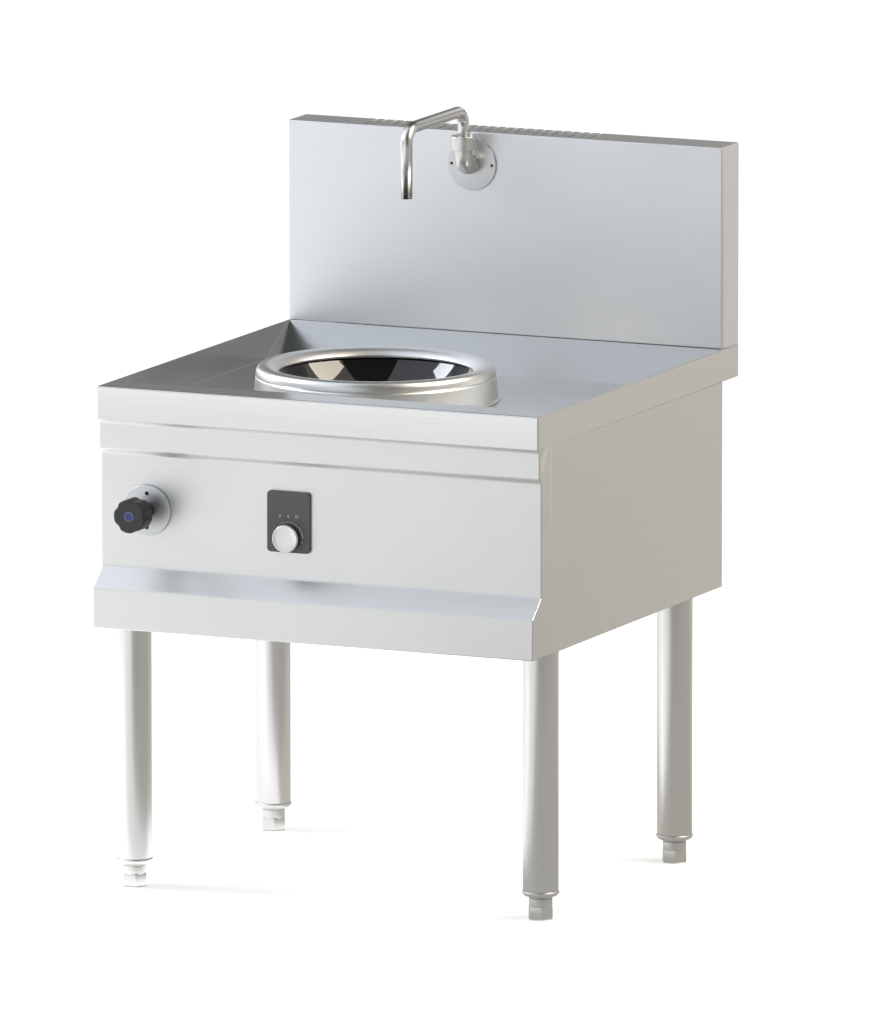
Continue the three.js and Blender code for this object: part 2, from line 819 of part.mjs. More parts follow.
// ---------------------------------------------------------------- generator and fan
function addGenerator(range) {
  const under = groupAt(range, [wellX, wellY, bodyFloor + gap]);
  const halfX = caseWidth / 2;
  const halfY = caseDepth / 2;
  const shell = block([-halfX, halfX], [-halfY, halfY], [0, caseHeight]);
  const hollow = block(
    [sheet - halfX, halfX - sheet], [sheet - halfY, halfY - sheet],
    [-overlapLength, caseHeight - sheet]);
  const outlet = block(
    [-halfX / 2, halfX / 2], [halfY - sheet - gap, halfY + gap], [caseHeight / 4, caseHeight / 2]);
  piece(under, 'generator_case', cut(shell, [hollow, outlet]), frameSteel);

  const boardTop = caseHeight - boardDrop;
  const half = boardSize / 2;
  const board = block([-half, half], [-half, half], [boardTop - boardThickness, boardTop]);
  const capacitors = [-1, 0, 1].map((column) => rodZ(
    capacitorRadius, [boardTop - boardThickness, boardTop + capacitorHeight], pipeSides)
    .translate(column * capacitorRadius * 3, half / 2, 0));
  piece(under, 'power_board', join([board, ...capacitors]), boardGreen);

  const sinkTop = boardTop - boardThickness - gap;
  const finTop = sinkTop - sinkBase / 2;
  const base = block(
    [-sinkWidth / 2, sinkWidth / 2], [-sinkDepth / 2, sinkDepth / 2], [sinkTop - sinkBase, sinkTop]);
  const finSpan = sinkWidth - finThickness;
  const fins = Array.from({ length: finCount }, (_, i) => {
    const left = -sinkWidth / 2 + finSpan * i / (finCount - 1);
    return block(
      [left, left + finThickness], [-sinkDepth / 2, sinkDepth / 2],
      [sinkTop - sinkBase - finHeight, finTop]);
  });
  piece(under, 'heat_sink', join([base, ...fins]), aluminium);

  const fanHalf = fanSize / 2;
  const frame = block([-fanHalf, fanHalf], [-fanHalf, fanHalf], [0, fanHeight]);
  const bore = rodZ(fanBoreRadius, [-gap, fanHeight + gap], middleSides);
  const ring = cut(frame, [bore]);
  const spokes = Array.from({ length: spokeCount }, (_, i) => block(
    [0, fanBoreRadius + gap], [-fanPlate, fanPlate], [0, fanPlate])
    .rotateZ(2 * Math.PI * i / spokeCount));
  const hubPlate = rodZ(fanHubRadius, [0, fanPlate]);
  const pin = rodZ(fanPinRadius, [fanPlate / 2, fanHeight - fanPlate], pipeSides);
  piece(under, 'fan_frame', join([ring, ...spokes, hubPlate, pin]), blackPlastic);

  const rotorLevel = [fanPlate * 2, fanHeight - fanPlate];
  const middle = (rotorLevel[0] + rotorLevel[1]) / 2;
  const bladeTip = fanBoreRadius - fanPlate;
  const blades = Array.from({ length: bladeCount }, (_, i) => block(
    [fanHubRadius - fanPlate, bladeTip],
    [-bladeChord / 2, bladeChord / 2],
    [-bladeThickness / 2, bladeThickness / 2])
    .rotateX(THREE.MathUtils.degToRad(bladeTilt))
    .rotateZ(2 * Math.PI * i / bladeCount)
    .translate(0, 0, middle));
  const hub = rodZ(fanHubRadius, rotorLevel);
  const pinHole = rodZ(fanPinRadius + gap, [0, fanHeight], pipeSides);
  piece(under, 'fan_rotor', cut(join([hub, ...blades]), [pinHole]), blackPlastic);
}

// ---------------------------------------------------------------- mains connection
function addMains(range) {
  const mains = groupAt(range, [mainsX, bodyBack, mainsZ]);
  const nut = hexagonZ(glandNutFlats, [gap, gap + glandNutLength]);
  const thread = rodZ(glandThreadRadius, [-glandThreadLength, gap + glandNutLength / 2]);
  const bore = rodZ(glandBoreRadius, [-glandThreadLength - gap, glandNutLength * 2]);
  const gland = cut(join([nut, thread]), [bore]).rotateX(-Math.PI / 2);
  piece(mains, 'cable_gland', gland, blackPlastic);

  const panelInside = -sheet - gap;
  const blockTop = -glandThreadRadius - terminalBelowGland;
  const blockHalf = terminalWidth / 2;
  const body = block(
    [-blockHalf, blockHalf], [panelInside - terminalDepth, panelInside],
    [blockTop - terminalHeight, blockTop]);
  const pitch = terminalWidth / terminalCount;
  const screws = Array.from({ length: terminalCount }, (_, i) => rodZ(
    terminalScrewRadius, [blockTop - terminalHeight / 2, blockTop + gap], pipeSides)
    .translate((i - (terminalCount - 1) / 2) * pitch, panelInside - terminalDepth / 2, 0));
  piece(mains, 'terminal_block', cut(body, screws), whitePlastic);
}

// ---------------------------------------------------------------- power control
function addControl(range) {
  const control = groupAt(range, [controlX, panelSetback, controlZ]);
  const plateFront = gap + plateThickness;
  const halfPlate = plateWidth / 2 - plateCorner;
  const low = plateRise - plateHeight / 2 + plateCorner;
  const high = plateRise + plateHeight / 2 - plateCorner;
  const rounded = new THREE.Shape();
  rounded.absarc(halfPlate, high, plateCorner, 0, Math.PI / 2);
  rounded.absarc(-halfPlate, high, plateCorner, Math.PI / 2, Math.PI);
  rounded.absarc(-halfPlate, low, plateCorner, Math.PI, 1.5 * Math.PI);
  rounded.absarc(halfPlate, low, plateCorner, 1.5 * Math.PI, 2 * Math.PI);
  const blank = prismY(rounded, [-plateFront, -gap]);
  const bushingHole = rodForward(bushingRadius + gap, [-overlapLength, overlapLength * 2]);
  piece(control, 'control_plate', cut(blank, [bushingHole]), greyPlastic);

  const behind = sheet + gap;
  const boreRadius = potShaftRadius + gap;
  piece(control, 'control_pot', faceForward(turned([
    [0, -behind - potLength],
    [potRadius, -behind - potLength],
    [potRadius, -behind],
    [bushingRadius, -behind],
    [bushingRadius, plateFront],
    [boreRadius, plateFront],
    [boreRadius, -potShaftInset - gap],
    [0, -potShaftInset - gap],
  ], smallSides)), blackPlastic);

  const skirtBack = plateFront + gap * 2;
  const skirtFront = skirtBack + knobSkirtDepth;
  const shaftFront = skirtFront - sheet - gap;
  piece(control, 'pot_shaft', rodForward(potShaftRadius, [-potShaftInset, shaftFront]), aluminium);

  piece(control, 'control_knob', faceForward(turned([
    [boreRadius, skirtBack],
    [knobSkirtRadius + sheet, skirtBack],
    [knobSkirtRadius, skirtFront],
    [0, skirtFront],
    [0, skirtFront - sheet],
    [boreRadius, skirtFront - sheet],
    [boreRadius, skirtBack],
  ], middleSides)), blackPlastic);

  const capBack = skirtFront + gap;
  const capFront = capBack + knobCapThickness;
  piece(control, 'knob_cap', faceForward(turned([
    [0, capBack],
    [knobCapRadius - sheet, capBack],
    [knobCapRadius, capBack + sheet],
    [knobCapRadius, capFront - sheet],
    [knobCapRadius - sheet, capFront],
    [knobCapRadius * 0.75, capFront - knobDish / 2],
    [0, capFront - knobDish],
  ], middleSides)), silverPlastic);
}

// ---------------------------------------------------------------- water valve
// The handwheel's outline: broad lobes with a shallow concave flute between each two.
function wheelOutline() {
  const fluteCentre = wheelRadius + fluteRadius - fluteDepth;
  const halfFlute = Math.acos(
    (wheelRadius ** 2 + fluteCentre ** 2 - fluteRadius ** 2) / (2 * wheelRadius * fluteCentre));
  const fluteSweep = Math.acos(
    (fluteRadius ** 2 + fluteCentre ** 2 - wheelRadius ** 2) / (2 * fluteRadius * fluteCentre));
  const shape = new THREE.Shape();
  const pitch = 2 * Math.PI / fluteCount;
  for (let i = 0; i < fluteCount; i += 1) {
    const angle = THREE.MathUtils.degToRad(firstFlute) + i * pitch;
    const inward = angle + Math.PI;
    shape.absarc(
      fluteCentre * Math.cos(angle), fluteCentre * Math.sin(angle), fluteRadius,
      inward + fluteSweep, inward - fluteSweep, true);
    shape.absarc(0, 0, wheelRadius, angle + halfFlute, angle + pitch - halfFlute);
  }
  return shape;
}

function addValve(range) {
  const valve = groupAt(range, [valveX, panelSetback, valveZ]);
  const flangeFront = gap + valveFlangeThickness;
  const atScrews = (geometry, side) => geometry.translate(0, 0, side * valveScrewOffset);
  const flange = faceForward(turnedRing([
    [bonnetRadius + gap, gap],
    [valveFlangeRadius, gap],
    [valveFlangeRadius, flangeFront - sheet],
    [valveFlangeRadius - sheet, flangeFront],
    [bonnetRadius + gap, flangeFront],
  ], middleSides));
  const headHoles = [-1, 1].map((side) => atScrews(
    rodForward(valveScrewRadius + gap, [-gap, flangeFront + gap], pipeSides), side));
  piece(valve, 'valve_flange', cut(flange, headHoles), brightSteel);

  const screw = () => faceForward(turned([
    [0, -sheet - valvePlateThickness],
    [valveShankRadius, -sheet - valvePlateThickness],
    [valveShankRadius, gap],
    [valveScrewRadius, gap],
    [valveScrewRadius, flangeFront],
    [0, flangeFront],
  ], pipeSides));
  piece(valve, 'valve_screw_upper', atScrews(screw(), 1), blackPlastic);
  piece(valve, 'valve_screw_lower', atScrews(screw(), -1), blackPlastic);

  const behind = -sheet - gap;
  const plate = rodForward(valvePlateRadius, [behind - valvePlateThickness, behind], middleSides);
  const barrel = rodForward(barrelRadius, [behind - valvePlateThickness - barrelLength, behind - gap]);
  const bonnet = rodForward(bonnetRadius, [behind - gap, bonnetLength]);
  const ports = rodZ(portRadius, [-portLength, portLength]).translate(0, portDepth, 0);
  const spindleBore = rodForward(spindleRadius + gap, [-spindleInset - gap, bonnetLength + gap]);
  const shankHoles = [-1, 1].map((side) => atScrews(
    rodForward(valveShankRadius + gap, [-barrelLength / 2, gap], pipeSides), side));
  const casting = join([plate, barrel, bonnet, ports]);
  piece(valve, 'valve_body', cut(casting, [spindleBore, ...shankHoles]), brass);

  const webFront = wheelFront - buttonRecess - wheelEdge;
  piece(valve, 'valve_spindle', rodForward(spindleRadius, [-spindleInset, webFront - gap]), brass);

  const lobes = new THREE.ExtrudeGeometry(wheelOutline(), {
    depth: wheelDepth - 2 * wheelEdge,
    curveSegments: 3,
    bevelSegments: 1,
    bevelSize: wheelEdge,
    bevelThickness: wheelEdge,
    bevelOffset: -wheelEdge,
  });
  lobes.rotateX(Math.PI / 2).translate(0, wheelEdge - wheelFront + wheelDepth - 2 * wheelEdge, 0);
  const wheelBack = wheelFront - wheelDepth;
  const hub = rodForward(wheelHubRadius, [wheelBack - wheelHubLength, wheelBack + gap]);
  const hubBore = rodForward(spindleRadius + gap, [wheelBack - wheelHubLength - gap, webFront]);
  const recess = rodForward(buttonRadius + gap, [wheelFront - buttonRecess, wheelFront + gap]);
  piece(valve, 'handwheel', cut(join([lobes, hub]), [hubBore, recess]), blackPlastic);

  const buttonBack = wheelFront - buttonRecess + gap;
  piece(valve, 'index_button', faceForward(turned([
    [0, buttonBack],
    [buttonRadius, buttonBack],
    [buttonRadius, wheelFront],
    [buttonRadius * 0.8, wheelFront + buttonProud],
    [0, wheelFront + buttonProud],
  ], smallSides)), bluePlastic);
}

// ---------------------------------------------------------------- tap
function addTap(range) {
  const tap = groupAt(range, [tapX, splashFront, tapZ]);
  const flangeFront = gap + tapFlangeThickness;
  const atScrews = (geometry, side) => geometry.translate(side * tapScrewOffset, 0, 0);
  const flange = faceForward(turnedRing([
    [elbowTailRadius + gap, gap],
    [tapFlangeRadius, gap],
    [tapFlangeRadius, flangeFront - gap],
    [tapFlangeRadius - sheet, flangeFront],
    [elbowTailRadius + gap, flangeFront],
  ], middleSides));
  const screwHoles = [-1, 1].map((side) => atScrews(
    rodForward(tapScrewRadius + gap, [-gap, flangeFront + gap], pipeSides), side));
  piece(tap, 'tap_flange', cut(flange, screwHoles), brightSteel);

  const tail = rodForward(elbowTailRadius, [-elbowTailLength, flangeFront + gap * 2]);
  const elbow = pipe([
    [0, -flangeFront - gap, 0],
    [0, -swivelReach, 0],
    [0, -swivelReach, nutBottom - gap],
  ], elbowRadius, { bend: elbowBend, steps: bendSteps, sides: smallSides });
  const spigot = rodZ(
    elbowTailRadius, [nutBottom - gap * 2, nutBottom + nutSocketDepth - gap * 2])
    .translate(0, -swivelReach, 0);
  piece(tap, 'tap_elbow', join([tail, elbow, spigot]), brightSteel);

  const nutTop = nutBottom + nutHeight;
  piece(tap, 'tap_nut', turnedRing([
    [elbowTailRadius + gap, nutBottom],
    [nutRadius, nutBottom],
    [nutRadius, nutTop],
    [nutRecessRadius, nutTop],
    [nutRecessRadius - gap, nutTop - nutRecessDepth],
    [spoutRadius + gap, nutTop - nutRecessDepth],
    [spoutRadius + gap, nutBottom + nutSocketDepth],
    [elbowTailRadius + gap, nutBottom + nutSocketDepth],
  ], middleSides), brightSteel, [0, -swivelReach, 0]);

  piece(tap, 'spout', pipe([
    [0, 0, nutBottom + nutSocketDepth],
    [0, 0, spoutArmHeight],
    [0, -spoutReach, spoutArmHeight],
    [0, -spoutReach, spoutArmHeight - spoutDrop],
  ], spoutRadius, {
    bend: spoutBend, steps: bendSteps, sides: smallSides, bore: spoutRadius - spoutWall,
  }), brightSteel, [0, -swivelReach, 0]);
}

// ---------------------------------------------------------------- water pipes
function addPipes(range) {
  const portY = panelSetback + portDepth;
  const riserY = rangeDepth - riserRearMargin;
  const bends = { bend: pipeBend, steps: pipeBendSteps, sides: pipeSides };
  piece(range, 'water_pipe', pipe([
    [valveX, portY, valveZ + portLength + gap],
    [valveX, portY, pipeRunHeight],
    [valveX, pipeClimbY, pipeRunHeight],
    [valveX, pipeClimbY, pipeCrossHeight],
    [valveX, riserY, pipeCrossHeight],
    [tapX, riserY, pipeCrossHeight],
    [tapX, riserY, tapZ],
    [tapX, splashFront + elbowTailLength + gap, tapZ],
  ], pipeRadius, bends), copper);

  const stubEnd = bodyBack + inletStub;
  const run = pipe([
    [valveX, portY, valveZ - portLength - gap],
    [valveX, portY, inletRunHeight],
    [valveX, stubEnd, inletRunHeight],
  ], pipeRadius, bends);
  const nut = hexagonZ(inletNutFlats, [bodyBack + gap, bodyBack + gap + inletNutLength])
    .rotateX(-Math.PI / 2).translate(valveX, 0, inletRunHeight);
  piece(range, 'water_inlet', join([run, nut]), copper);
}

// ---------------------------------------------------------------- assembly
const range = new THREE.Group();
addWorktop(range);
addSplashback(range);
addFascia(range);
addSidePanel(range, 'side_panel_left', -1);
addSidePanel(range, 'side_panel_right', 1);
addBackAndBottom(range);
addFrame(range);
legPlaces().forEach((place) => addLeg(range, place));
addWell(range);
addGenerator(range);
addMains(range);
addControl(range);
addValve(range);
addTap(range);
addPipes(range);

// The footprint runs from the handwheel's button to the splashback's rear face.
const foremost = panelSetback - wheelFront - buttonProud;
range.position.y = -(foremost + rangeDepth) / 2;

const wokRange = new THREE.Group();
wokRange.add(range);

export default wokRange;
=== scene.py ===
import math

import bmesh
import bpy
from mathutils import Matrix, Vector


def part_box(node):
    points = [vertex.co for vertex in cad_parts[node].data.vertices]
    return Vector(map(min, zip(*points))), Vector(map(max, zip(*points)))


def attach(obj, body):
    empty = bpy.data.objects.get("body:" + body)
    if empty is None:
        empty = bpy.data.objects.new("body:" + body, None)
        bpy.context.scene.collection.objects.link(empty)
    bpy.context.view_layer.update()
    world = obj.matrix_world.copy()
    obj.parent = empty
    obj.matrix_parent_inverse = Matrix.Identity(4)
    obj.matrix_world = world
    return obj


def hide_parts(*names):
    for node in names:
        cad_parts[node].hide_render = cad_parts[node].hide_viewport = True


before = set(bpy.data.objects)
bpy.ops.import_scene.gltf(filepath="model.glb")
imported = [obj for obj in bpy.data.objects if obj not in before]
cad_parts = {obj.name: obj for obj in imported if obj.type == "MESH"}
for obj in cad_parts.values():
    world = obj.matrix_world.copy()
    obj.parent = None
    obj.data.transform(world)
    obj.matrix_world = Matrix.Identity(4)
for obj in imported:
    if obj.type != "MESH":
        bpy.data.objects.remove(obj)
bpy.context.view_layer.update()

scene = bpy.context.scene
scene.view_settings.view_transform = "Standard"


# ---------------------------------------------------------------- studio
# A white sheet on the floor, a soft box at the left and a warmer one at the right. Cards from white
# to dark grey lie and stand all round, and only the metal mirrors them. A long lens looks on.
CAMERA_AZIMUTH = math.radians(23.91)
CAMERA_ELEVATION = math.radians(9.6)
CAMERA_DISTANCE = 32.725
CAMERA_TARGET = Vector((0.05129, 0.0109, 0.6109))
CAMERA_LENS = 688.9
PAPER_SIZE = 40
PAPER_LIFT = 0.35
AIR_LIGHT, AIR_SEEN = 0.75, 1.0
ROOM = 6.0
ROOM_LOW, ROOM_MIDDLE, ROOM_TOP = 1.0, 2.0, 4.0
CARD_STEPS = 24
FIELD_EDGE = (3.25, 0.441)
FLOOR_LINE = ((0.02, 0.0005), (1.1, 0.004), FIELD_EDGE)
FIELD_LINE = (FIELD_EDGE, (ROOM, ROOM_LOW))
HORIZON_LINE = ((ROOM, ROOM_LOW), (ROOM, ROOM_MIDDLE))
WALL_LINE = ((ROOM, ROOM_LOW), (ROOM, ROOM_TOP))
HIGH_WALL_LINE = ((ROOM, ROOM_MIDDLE), (ROOM, ROOM_TOP))
PANEL_LINE = ((5.9, 2.3), (5.9, ROOM_TOP))
CEILING_LINE = ((ROOM, ROOM_TOP), (0.01, 5.2))
# Each card: name, start and stop in degrees, line of (radius, height), colour, strength.
CARDS = (
    ("floor_card_left", -90, -36, FLOOR_LINE, "#ffffff", 1.5),
    ("floor_card_middle", -36, -1, FLOOR_LINE, "#ffffff", 1.0),
    ("floor_card_right", -1, 80, FLOOR_LINE, "#b8b7b5", 1),
    ("floor_card_side", 80, 138, FLOOR_LINE, "#bab6af", 1),
    ("floor_card_rear", 138, 230, FLOOR_LINE, "#d4cec5", 1),
    ("floor_card_rear_left", 230, 270, FLOOR_LINE, "#ffffff", 1.3),
    ("field_card_left", -90, -36, FIELD_LINE, "#ffffff", 0.8),
    ("field_card_middle", -36, 5, FIELD_LINE, "#ffffff", 1.45),
    ("field_card_right", 5, 138, FIELD_LINE, "#b8b7b5", 1),
    ("field_card_rear", 138, 230, FIELD_LINE, "#d8d2c9", 1),
    ("field_card_rear_left", 230, 270, FIELD_LINE, "#ffffff", 1.5),
    ("horizon_card_left", -130, -84, HORIZON_LINE, "#ffffff", 2.8),
    ("horizon_card_side", 116, 152, HORIZON_LINE, "#fffaf0", 1.25),
    ("wall_card_left", -84, -44, WALL_LINE, "#bcbfc4", 1),
    ("wall_card_front", -44, 10, WALL_LINE, "#e9edf3", 1),
    ("wall_card_dark", 10, 50, WALL_LINE, "#3c3c3a", 1),
    ("wall_card_right", 50, 116, WALL_LINE, "#8a8987", 1),
    ("wall_card_side", 116, 152, HIGH_WALL_LINE, "#8a8987", 1),
    ("wall_card_rear", 152, 230, WALL_LINE, "#8a8987", 1),
    ("wall_card_rear_high", 164, 188, PANEL_LINE, "#ffffff", 1.1),
    ("wall_card_rear_left", 230, 276, HIGH_WALL_LINE, "#bcbfc4", 1),
    ("ceiling_card_left", -115, -8, CEILING_LINE, "#e8eef7", 1.1),
    ("ceiling_card_front", -8, 72, CEILING_LINE, "#4e4e4c", 1),
    ("ceiling_card_right", 72, 140, CEILING_LINE, "#fff8ec", 1),
    ("ceiling_card_rear", 140, 245, CEILING_LINE, "#3a3b3a", 1))
# Each soft box: name, azimuth, elevation, width and height in metres, colour, watts.
SOFT_BOXES = (
    ("soft_box_left", -78, 32, 1.5, 1.4, "#f4f8ff", 75),
    ("soft_box_right", 100, 43, 2.8, 1.9, "#fff3df", 150))
LAMP_DISTANCE = 4.6
LAMP_AIM = Vector((0, 0, 0.85))


def colour(code):
    """An sRGB hex value as a linear colour."""
    channels = [int(code[i:i + 2], 16) / 255 for i in (1, 3, 5)]
    return [c / 12.92 if c <= 0.04045 else ((c + 0.055) / 1.055) ** 2.4 for c in channels] + [1]


def add(tree, kind, inputs, **settings):
    """Adds a shader node with its settings. Each input gets a value or another node's output."""
    node = tree.nodes.new("ShaderNode" + kind)
    for name, value in settings.items():
        setattr(node, name, value)
    for socket, value in inputs.items():
        if isinstance(value, bpy.types.NodeSocket):
            tree.links.new(value, node.inputs[socket])
        else:
            node.inputs[socket].default_value = value
    return node


def between(tree, value, low, high):
    """Spreads a value from 0 to 1 over low to high."""
    return add(tree, "MapRange", {"Value": value, "To Min": low, "To Max": high}).outputs[0]


def new_finish(name):
    """An empty material and its node tree."""
    material = bpy.data.materials.new(name)
    material.use_nodes = True
    material.node_tree.nodes.clear()
    return material, material.node_tree


def show(name, bm, material):
    """Puts a bmesh in the scene as an object and returns it."""
    mesh = bpy.data.meshes.new(name)
    bm.to_mesh(mesh)
    bm.free()
    mesh.materials.append(material)
    obj = bpy.data.objects.new(name, mesh)
    scene.collection.objects.link(obj)
    return obj


# White paper: matt, and lifted for the camera alone so that it meets the white background.
white_paper, tree = new_finish("white_studio_paper")
path = add(tree, "LightPath", {})
matt = add(tree, "BsdfDiffuse", {"Color": colour("#f2f2f1")})
lift = add(tree, "Emission", {"Color": colour("#ffffff"), "Strength": PAPER_LIFT})
lit = add(tree, "AddShader", {0: matt.outputs[0], 1: lift.outputs[0]})
seen = add(tree, "MixShader", {
    0: path.outputs["Is Camera Ray"], 1: matt.outputs[0], 2: lit.outputs[0]})
add(tree, "OutputMaterial", {"Surface": seen.outputs[0]})
bm = bmesh.new()
bmesh.ops.create_grid(bm, x_segments=1, y_segments=1, size=PAPER_SIZE)
show("studio_floor", bm, white_paper)

for name, start, stop, line, code, strength in CARDS:
    card_paint, tree = new_finish(name)
    glow = add(tree, "Emission", {"Color": colour(code), "Strength": strength})
    add(tree, "OutputMaterial", {"Surface": glow.outputs[0]})
    bm = bmesh.new()
    ends = [bm.verts.new((radius, 0, height)) for radius, height in line]
    edges = [bm.edges.new(pair) for pair in zip(ends, ends[1:])]
    bmesh.ops.spin(
        bm, geom=ends + edges, cent=(0, 0, 0), axis=(0, 0, 1),
        angle=math.radians(stop - start), steps=CARD_STEPS)
    bmesh.ops.rotate(
        bm, verts=bm.verts, cent=(0, 0, 0),
        matrix=Matrix.Rotation(math.radians(start - 90), 3, "Z"))
    card = show(name, bm, card_paint)
    card.visible_camera = False
    card.visible_diffuse = False
    card.visible_shadow = False

for name, azimuth, elevation, wide, high, code, watts in SOFT_BOXES:
    lamp = bpy.data.lights.new(name, "AREA")
    lamp.shape = "RECTANGLE"
    lamp.size, lamp.size_y = wide, high
    lamp.color = colour(code)[:3]
    lamp.energy = watts
    light = bpy.data.objects.new(name, lamp)
    turn = Matrix.Rotation(math.radians(azimuth), 4, "Z")
    towards = turn @ Matrix.Rotation(math.radians(-elevation), 4, "X") @ Vector((0, -1, 0))
    light.location = LAMP_AIM + towards * LAMP_DISTANCE
    light.rotation_euler = towards.to_track_quat("Z", "Y").to_euler()
    light.visible_camera = False
    scene.collection.objects.link(light)

world = bpy.data.worlds.new("studio_air")
world.use_nodes = True
tree = world.node_tree
tree.nodes.clear()
path = add(tree, "LightPath", {})
either = add(tree, "Math", {
    0: path.outputs["Is Camera Ray"], 1: path.outputs["Is Glossy Ray"]}, operation="MAXIMUM")
white = add(tree, "Math", {
    0: either.outputs[0], 1: path.outputs["Is Transmission Ray"]}, operation="MAXIMUM")
air = add(tree, "Background", {
    "Color": colour("#ffffff"), "Strength": between(tree, white.outputs[0], AIR_LIGHT, AIR_SEEN)})
add(tree, "OutputWorld", {"Surface": air.outputs[0]})
scene.world = world

towards_camera = Vector((
    math.sin(CAMERA_AZIMUTH) * math.cos(CAMERA_ELEVATION),
    -math.cos(CAMERA_AZIMUTH) * math.cos(CAMERA_ELEVATION),
    math.sin(CAMERA_ELEVATION)))
lens = bpy.data.cameras.new("long_lens")
lens.lens = CAMERA_LENS
lens.clip_end = 200
camera = bpy.data.objects.new("long_lens", lens)
camera.location = CAMERA_TARGET + towards_camera * CAMERA_DISTANCE
camera.rotation_euler = towards_camera.to_track_quat("Z", "Y").to_euler()
scene.collection.objects.link(camera)
scene.camera = camera


# ---------------------------------------------------------------- worktop
# One stainless sheet, 1.5 mm thick: a front ledge, hemmed side rims, a tray with a sloped back and
# a rear deck. It is folded on a press brake, welded at the corners and brushed again.
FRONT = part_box("worktop")[0].y
SHEET = 1.5
HALF_WIDTH = 400
WORKTOP_TOP = 854
RIM_BOTTOM = 799
TRAY_FLOOR = 800.5
HEM = 3.2
LEDGE = 65
SLOPE_RUN = 100
SPLASH_FRONT = 770
RANGE_BACK = 840
BODY_BACK = 773
WELL = Vector((-58, 370, TRAY_FLOOR))
WELL_HOLE = 174
WELL_FRAME = 190
WIDEST_BEND = 6.0
OUTER_BEND = 2.4
INNER_BEND = 0.7
FOLD_STEPS = 4
TURN_STEPS = 96


def noise(tree, size, detail):
    """Noise with features of this size in metres, fixed to the object."""
    place = add(tree, "TexCoord", {}).outputs["Object"]
    return add(tree, "TexNoise", {
        "Vector": place, "Scale": 1 / size, "Detail": detail}).outputs[0]


def wear(tree, fine, broad, low, high):
    """Roughness that runs from low to high where two noises add up."""
    worn = add(tree, "Math", {0: fine, 1: broad}, operation="ADD")
    return add(tree, "MapRange", {
        "Value": worn.outputs[0], "From Min": 0.6, "From Max": 1.4,
        "To Min": low, "To Max": high}).outputs[0]


def bump(tree, height, strength, distance):
    """Relief from a height, up to this distance in metres."""
    return add(tree, "Bump", {
        "Height": height, "Strength": strength, "Distance": distance}).outputs[0]


def surface(tree, inputs):
    """Closes a finish with its shader."""
    shader = add(tree, "BsdfPrincipled", inputs)
    add(tree, "OutputMaterial", {"Surface": shader.outputs[0]})


def brushed_sheet(name, grain, smooth, coarse, code="#dcdddc"):
    """Stainless sheet, grade 304, brushed along one axis: soft wide reflections with faint streaks.
    The grit's lines are 0.1 mm apart, too fine to show, so the streaks are drawn 2 mm apart."""
    material, tree = new_finish(name)
    streak_scale = [1 / 0.002] * 3
    streak_scale[grain] = 1 / 0.25
    along = add(tree, "Mapping", {
        "Vector": add(tree, "TexCoord", {}).outputs["Object"], "Scale": streak_scale})
    streaks = add(tree, "TexNoise", {
        "Vector": along.outputs[0], "Scale": 1.0, "Detail": 2.0}).outputs[0]
    steel = add(tree, "Mix", {
        0: 1.0, 6: colour(code), 7: between(tree, streaks, 0.965, 1.03)},
        data_type="RGBA", blend_type="MULTIPLY")
    surface(tree, {
        "Base Color": steel.outputs[2], "Metallic": 1.0,
        "Roughness": wear(tree, streaks, noise(tree, 0.2, 3.0), smooth, coarse),
        "Normal": bump(tree, streaks, 0.06, 0.0002)})
    return material


def bend(bm, radius, chosen):
    """Marks edges to be folded at this radius. The test is told an edge's middle and direction."""
    weights = bm.edges.layers.float.get("bevel_weight_edge")
    weights = weights or bm.edges.layers.float.new("bevel_weight_edge")
    for edge in bm.edges:
        ends = [v.co for v in edge.verts]
        if chosen((ends[0] + ends[1]) / 2, (ends[1] - ends[0]).normalized()):
            edge[weights] = radius / WIDEST_BEND


def near(a, b):
    """Whether two lengths are the same to 0.01 mm."""
    return abs(a - b) < 0.01


def faces_where(bm, chosen):
    """The faces that pass a test, which is told a face's middle and its normal."""
    return [f for f in bm.faces if chosen(f.calc_center_median(), f.normal)]


def finish_piece(name, bm, material, body, nodes=(), smooth=30):
    """Brings a bmesh in millimetres from the worktop's front face into the row frame as a piece."""
    bmesh.ops.transform(
        bm, matrix=Matrix.Translation((0, FRONT, 0)) @ Matrix.Scale(0.001, 4), verts=bm.verts)
    piece = show(name, bm, material)
    piece.data.shade_smooth()
    piece.data.set_sharp_from_angle(angle=math.radians(smooth))
    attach(piece, body)
    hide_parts(*nodes)
    return piece


def give_wall(piece, name, thickness):
    """Gives a skin its thickness inwards, in millimetres."""
    wall = piece.modifiers.new(name, "SOLIDIFY")
    wall.thickness = thickness / 1000
    wall.offset = -1
    return wall


def fold_sheet(piece):
    """Rounds the marked bends, gives the skin the sheet's thickness and keeps the flats flat."""
    round_off = piece.modifiers.new("folds", "BEVEL")
    round_off.limit_method = "WEIGHT"
    round_off.width = WIDEST_BEND / 1000
    round_off.segments = FOLD_STEPS
    round_off.use_clamp_overlap = False
    give_wall(piece, "sheet", SHEET).use_even_offset = True
    piece.modifiers.new("flats", "WEIGHTED_NORMAL").keep_sharp = True


def spaced_grid(columns, rows, z):
    """A flat sheet divided at the given places."""
    bm = bmesh.new()
    across, deep = len(columns) - 1, len(rows) - 1
    bmesh.ops.create_grid(bm, x_segments=across, y_segments=deep, size=0.5)
    for v in bm.verts:
        column, row = round((v.co.x + 0.5) * across), round((v.co.y + 0.5) * deep)
        v.co = (columns[column], rows[row], z)
    return bm


def corners_in(geometry):
    """The vertices in an operator's result."""
    return [g for g in geometry if isinstance(g, bmesh.types.BMVert)]


